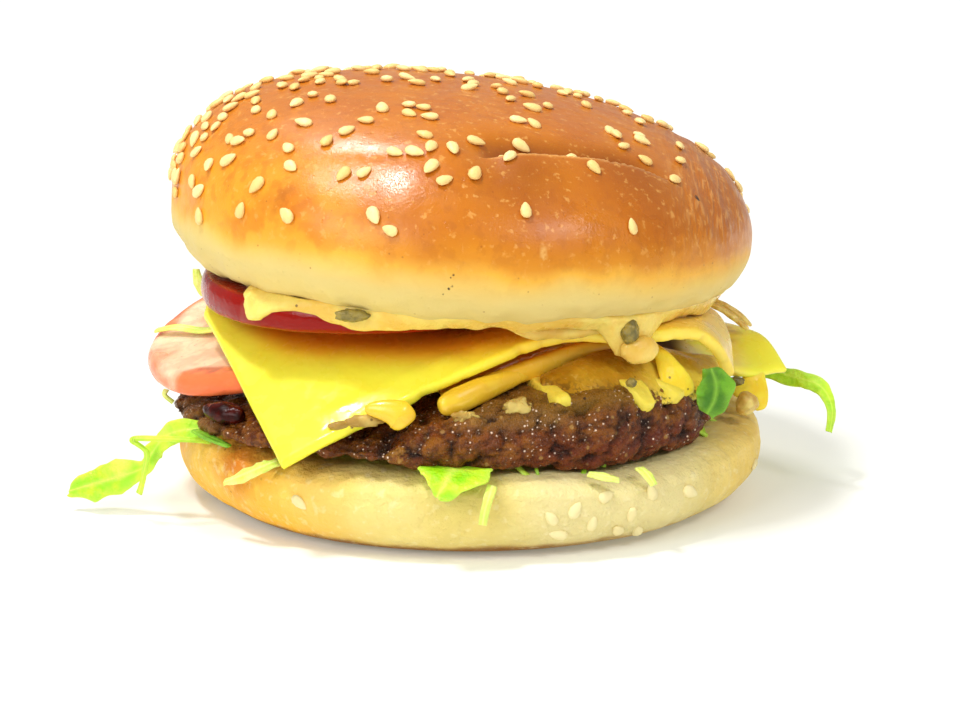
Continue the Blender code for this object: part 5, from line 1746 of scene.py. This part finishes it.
# Beads of sauce and melted cheese: the finish, the slot, the stations along and around, and how rough it
# is; then the points of the line, the half widths and half heights along it, and the way its face looks.
BEADS = {
    "sauce_ridge_yellow": (
        "yellow", "sauce", 60, 40, 0.03,
        ((32.6, -26.8, 32.2), (33.8, -29.8, 30.9), (35.2, -31.9, 28.6), (36.4, -32.8, 26.2),
         (37.0, -33.0, 23.8)),
        (0.5, 1.5, 2.5, 3.1, 3.4),
        (0.5, 0.9, 1.0, 0.6, 0.3),
        (0.45, -1.0, 0.6),
    ),
    "cheese_drop": (
        "cheese", "cheese", 60, 40, 0.04,
        ((-17.4, -50.0, 26.2), (-14.0, -50.3, 26.0), (-11.6, -50.5, 25.2), (-10.2, -50.4, 23.4)),
        (0.8, 1.8, 2.6, 2.2),
        (0.6, 1.2, 1.6, 1.3),
        (0.1, -1.0, 0.3),
    ),
    "cheese_flap_right": (
        "yellow", "cheese", 60, 40, 0.04,
        ((50.8, -9.4, 22.4), (52.0, -9.8, 20.8), (53.4, -10.4, 18.6), (54.0, -10.8, 16.2)),
        (4.2, 3.6, 2.3, 1.1),
        (0.8, 1.1, 0.9, 0.7),
        (0.3, -1.0, 0.1),
    ),
    "cheese_lip_end": (
        "cheese", "cheese", 80, 48, 0.03,
        ((-5.0, -47.9, 25.8), (-2.0, -46.3, 26.6), (2.0, -43.7, 27.8), (7.0, -39.9, 28.9),
         (11.0, -36.8, 29.6)),
        (1.7, 2.3, 2.2, 1.6, 0.8),
        (1.4, 1.8, 1.5, 0.9, 0.4),
        (0.4, -1.0, 0.2),
    ),
}

# The upper and lower lines of the sauce that hangs from the lower cheese.
CURTAIN_HIGH = (
    (12.0, -37.5, 28.9), (19.5, -33.0, 31.4), (26.0, -27.0, 31.8), (31.7, -22.0, 31.4),
    (36.0, -18.5, 29.8), (41.5, -15.0, 28.1), (46.0, -12.0, 26.9),
)
CURTAIN_LOW = (
    (12.5, -42.0, 26.4), (18.9, -43.6, 26.4), (26.0, -41.6, 25.8), (31.0, -39.2, 24.6),
    (37.0, -33.6, 23.4), (42.5, -27.0, 22.8), (46.0, -21.6, 22.2),
)


def leaves(green, dark, pale):
    """The leaves and shreds that reach out of the burger, along the same lines as the CAD's."""
    finishes = {
        "green": (green, "lettuce_green"),
        "dark": (dark, "lettuce_green"),
        "pale": (pale, "lettuce_pale"),
    }
    for seed, (name, leaf) in enumerate(LEAVES.items(), 3):
        material, slot = finishes[leaf[0]]
        leaf_piece(name, leaf[1:], material, slot, ("lettuce_" + name,), seed)


def onion_strands(material):
    """Three strands of onion that slide off the upper cheese's right edge."""
    for index in range(3):
        y = -1.0 + 3.4 * (index - 1)
        shift = 1.2 * math.sin(2.1 * index)
        line = [(44.0 + shift + 9.6 * t, y - 1.2 * t, 35.3 - 6.4 * t**1.5) for t in (0.0, 0.3, 0.6, 0.84)]
        node = f"onion_strand_{index + 1}"
        strand = (60, 16, 0.15, line, (0.6, 0.95, 0.95, 0.5), (0.55, 0.6, 0.6, 0.45), UP)
        bead_piece(node + "_piece", strand, material, "onion", (node,), 81 + index)


def small_pieces(pickle, onion, white, glaze, mass):
    """The gherkin and onion pieces that show, lumps of sauce on the patty and under the crown, and a dark
    glazed lump at the patty's left."""
    finishes = {
        "pickle": (pickle, "gherkin"),
        "onion": (onion, "onion"),
        "white": (white, "sauce"),
        "glaze": (glaze, "patty_meat"),
        "mass": (mass, "sauce"),
    }
    for seed, (name, chunk) in enumerate(CHUNKS.items(), 91):
        finish, centre, half, turn, rough, *replaced = chunk
        material, slot = finishes[finish]
        blob_piece(name, centre, half, turn, rough, material, slot, replaced, seed)


# The apron of sauce under the crown, at azimuths round the crown: how far its rim hangs below the lip,
# and how far out it is.
APRON = {
    -135: (0.2, 52.6), -132.5: (0.8, 54.2), -131: (3.8, 54.6), -128.6: (3.2, 54.3), -126.5: (1.9, 53.0),
    -122: (1.4, 51.8), -118: (1.9, 50.6), -114.5: (3.0, 49.9), -111: (3.6, 49.4), -106: (3.0, 48.6),
    -101: (3.0, 48.0), -92: (1.8, 47.4), -84: (1.2, 47.2), -76: (1.9, 47.2), -68: (1.3, 47.2),
    -60: (1.9, 47.4), -57.4: (4.0, 47.8), -55: (7.0, 48.2), -51: (8.0, 48.4), -48: (7.4, 48.2),
    -45.6: (4.4, 48.0), -43: (2.2, 47.8), -38: (1.6, 48.0), -34: (1.8, 48.4), -24: (2.6, 48.6),
    -10: (1.4, 48.0), 6: (1.8, 47.6),
}


def crown_apron(material):
    """Sauce squeezed out all along the crown's front, from under the lip down to an uneven rim."""
    azimuth = np.linspace(min(APRON), max(APRON), 520)
    table = np.array(list(APRON.values()))
    depth, reach = (np.interp(azimuth, list(APRON), table[:, k]) for k in range(2))
    depth = depth + 0.6 * lumps(on_x(azimuth), 4.5, 101, 3)
    angle = np.radians(azimuth)
    turn = math.radians(58)
    lip = CROWN_RADIUS - CROWN_LIP_INSET * (1.0 - math.cos(turn)) - 0.3

    def level(radius, height):
        return tilt_crown(xyz(radius * np.cos(angle), radius * np.sin(angle), height))

    high = level(lip, -CROWN_LIP_DROP * math.sin(turn))
    low = level(reach, -CROWN_LIP_DROP - depth)
    return drape_piece("sauce_apron", high, low, material, "sauce", 1.2, 0.3, 102, 30, 0.5)


def sauce_curtain(material):
    """Sauce that runs over the patty from the lower cheese."""
    high, low = (path_through(line, 100) for line in (CURTAIN_HIGH, CURTAIN_LOW))
    return drape_piece("sauce_curtain", high, low, material, "sauce", 0.9, 1.4, 105, 50, 0.2)


def beads(yellow, cheese):
    """A ridge of sauce on the patty, a melted drop under the upper cheese's corner, and the lower
    cheese's rounded left end and a flap under its right one."""
    finishes = {"yellow": yellow, "cheese": cheese}
    for seed, (name, bead) in enumerate(BEADS.items(), 107):
        bead_piece(name, bead[2:], finishes[bead[0]], bead[1], (), seed)


studio()
camera()

CRUST = crust_finish()
CRUMB = crumb_finish()
MEAT = meat_finish()
CHEESE_UPPER = cheese_finish("cheese_upper", (238, 138, 26))
CHEESE_LOWER = cheese_finish("cheese_lower", (214, 150, 40))
TOMATO_UPPER = tomato_finish("tomato_upper", (172, 38, 4), (142, 14, 2), 0.04)
TOMATO_LOWER = tomato_finish("tomato_lower", (254, 136, 84), (255, 122, 72), 0.2)
SAUCE = sauce_finish("sauce", (240, 210, 108), (232, 188, 84))
SAUCE_OCHRE = sauce_finish("sauce_ochre", (192, 144, 34), (166, 116, 20), (250, 220, 80))
SAUCE_PEACH = sauce_finish("sauce_peach", (238, 206, 108), (228, 186, 84))
SAUCE_YELLOW = sauce_finish("sauce_yellow", (255, 230, 70), (252, 214, 54))
CHEESE_LIP = plain_finish("cheese_lip", (244, 204, 54), (238, 192, 44), 4.0, 0.14, 0.03)
MAYO = sauce_finish("mayonnaise", (214, 188, 104), (164, 130, 60))
GLAZE = plain_finish("glaze_dark", (66, 10, 4), (36, 4, 2), 2.0, 0.16, 0.06, Specular_IOR_Level=0.14)
GREEN = leaf_finish("lettuce_green", (196, 238, 34), (146, 214, 10), (226, 250, 100))
GREEN_DARK = leaf_finish("lettuce_dark", (106, 168, 20), (60, 118, 8), (150, 200, 60))
GREEN_PALE = leaf_finish("lettuce_pale", (220, 240, 80), (196, 228, 50), (242, 250, 160))
GHERKIN = plain_finish("gherkin", (152, 132, 56), (104, 92, 32), 1.6, 0.25, 0.15)
ONION = plain_finish("onion", (240, 208, 116), (206, 160, 70), 1.8, 0.25, 0.12, Subsurface_Weight=0.2)
SEEDS = toned_finish("sesame", (252, 226, 158), (236, 196, 116), 0.35, Specular_IOR_Level=0.3)
PALE_SEEDS = toned_finish("sesame_pale", (244, 232, 180), (238, 220, 158), 0.5, Specular_IOR_Level=0.2)
SHREDS = toned_finish("lettuce_shreds", (214, 236, 80), (130, 190, 20), 0.3)

SURFACE = crown(CRUST)
crown_seeds(SURFACE, SEEDS)
heel_seeds(heel(CRUMB), PALE_SEEDS)
lettuce_bed(SHREDS)
patty(MEAT)
sauce_coat(SAUCE_OCHRE)
lower_cheese(CHEESE_LOWER)
upper_cheese(CHEESE_UPPER)
lower_tomato(TOMATO_LOWER)
upper_tomato(TOMATO_UPPER)
sauce_layer(SAUCE)
leaves(GREEN, GREEN_DARK, GREEN_PALE)
onion_strands(ONION)
small_pieces(GHERKIN, ONION, MAYO, GLAZE, SAUCE_PEACH)
crown_apron(SAUCE)
sauce_curtain(SAUCE_OCHRE)
beads(SAUCE_YELLOW, CHEESE_LIP)
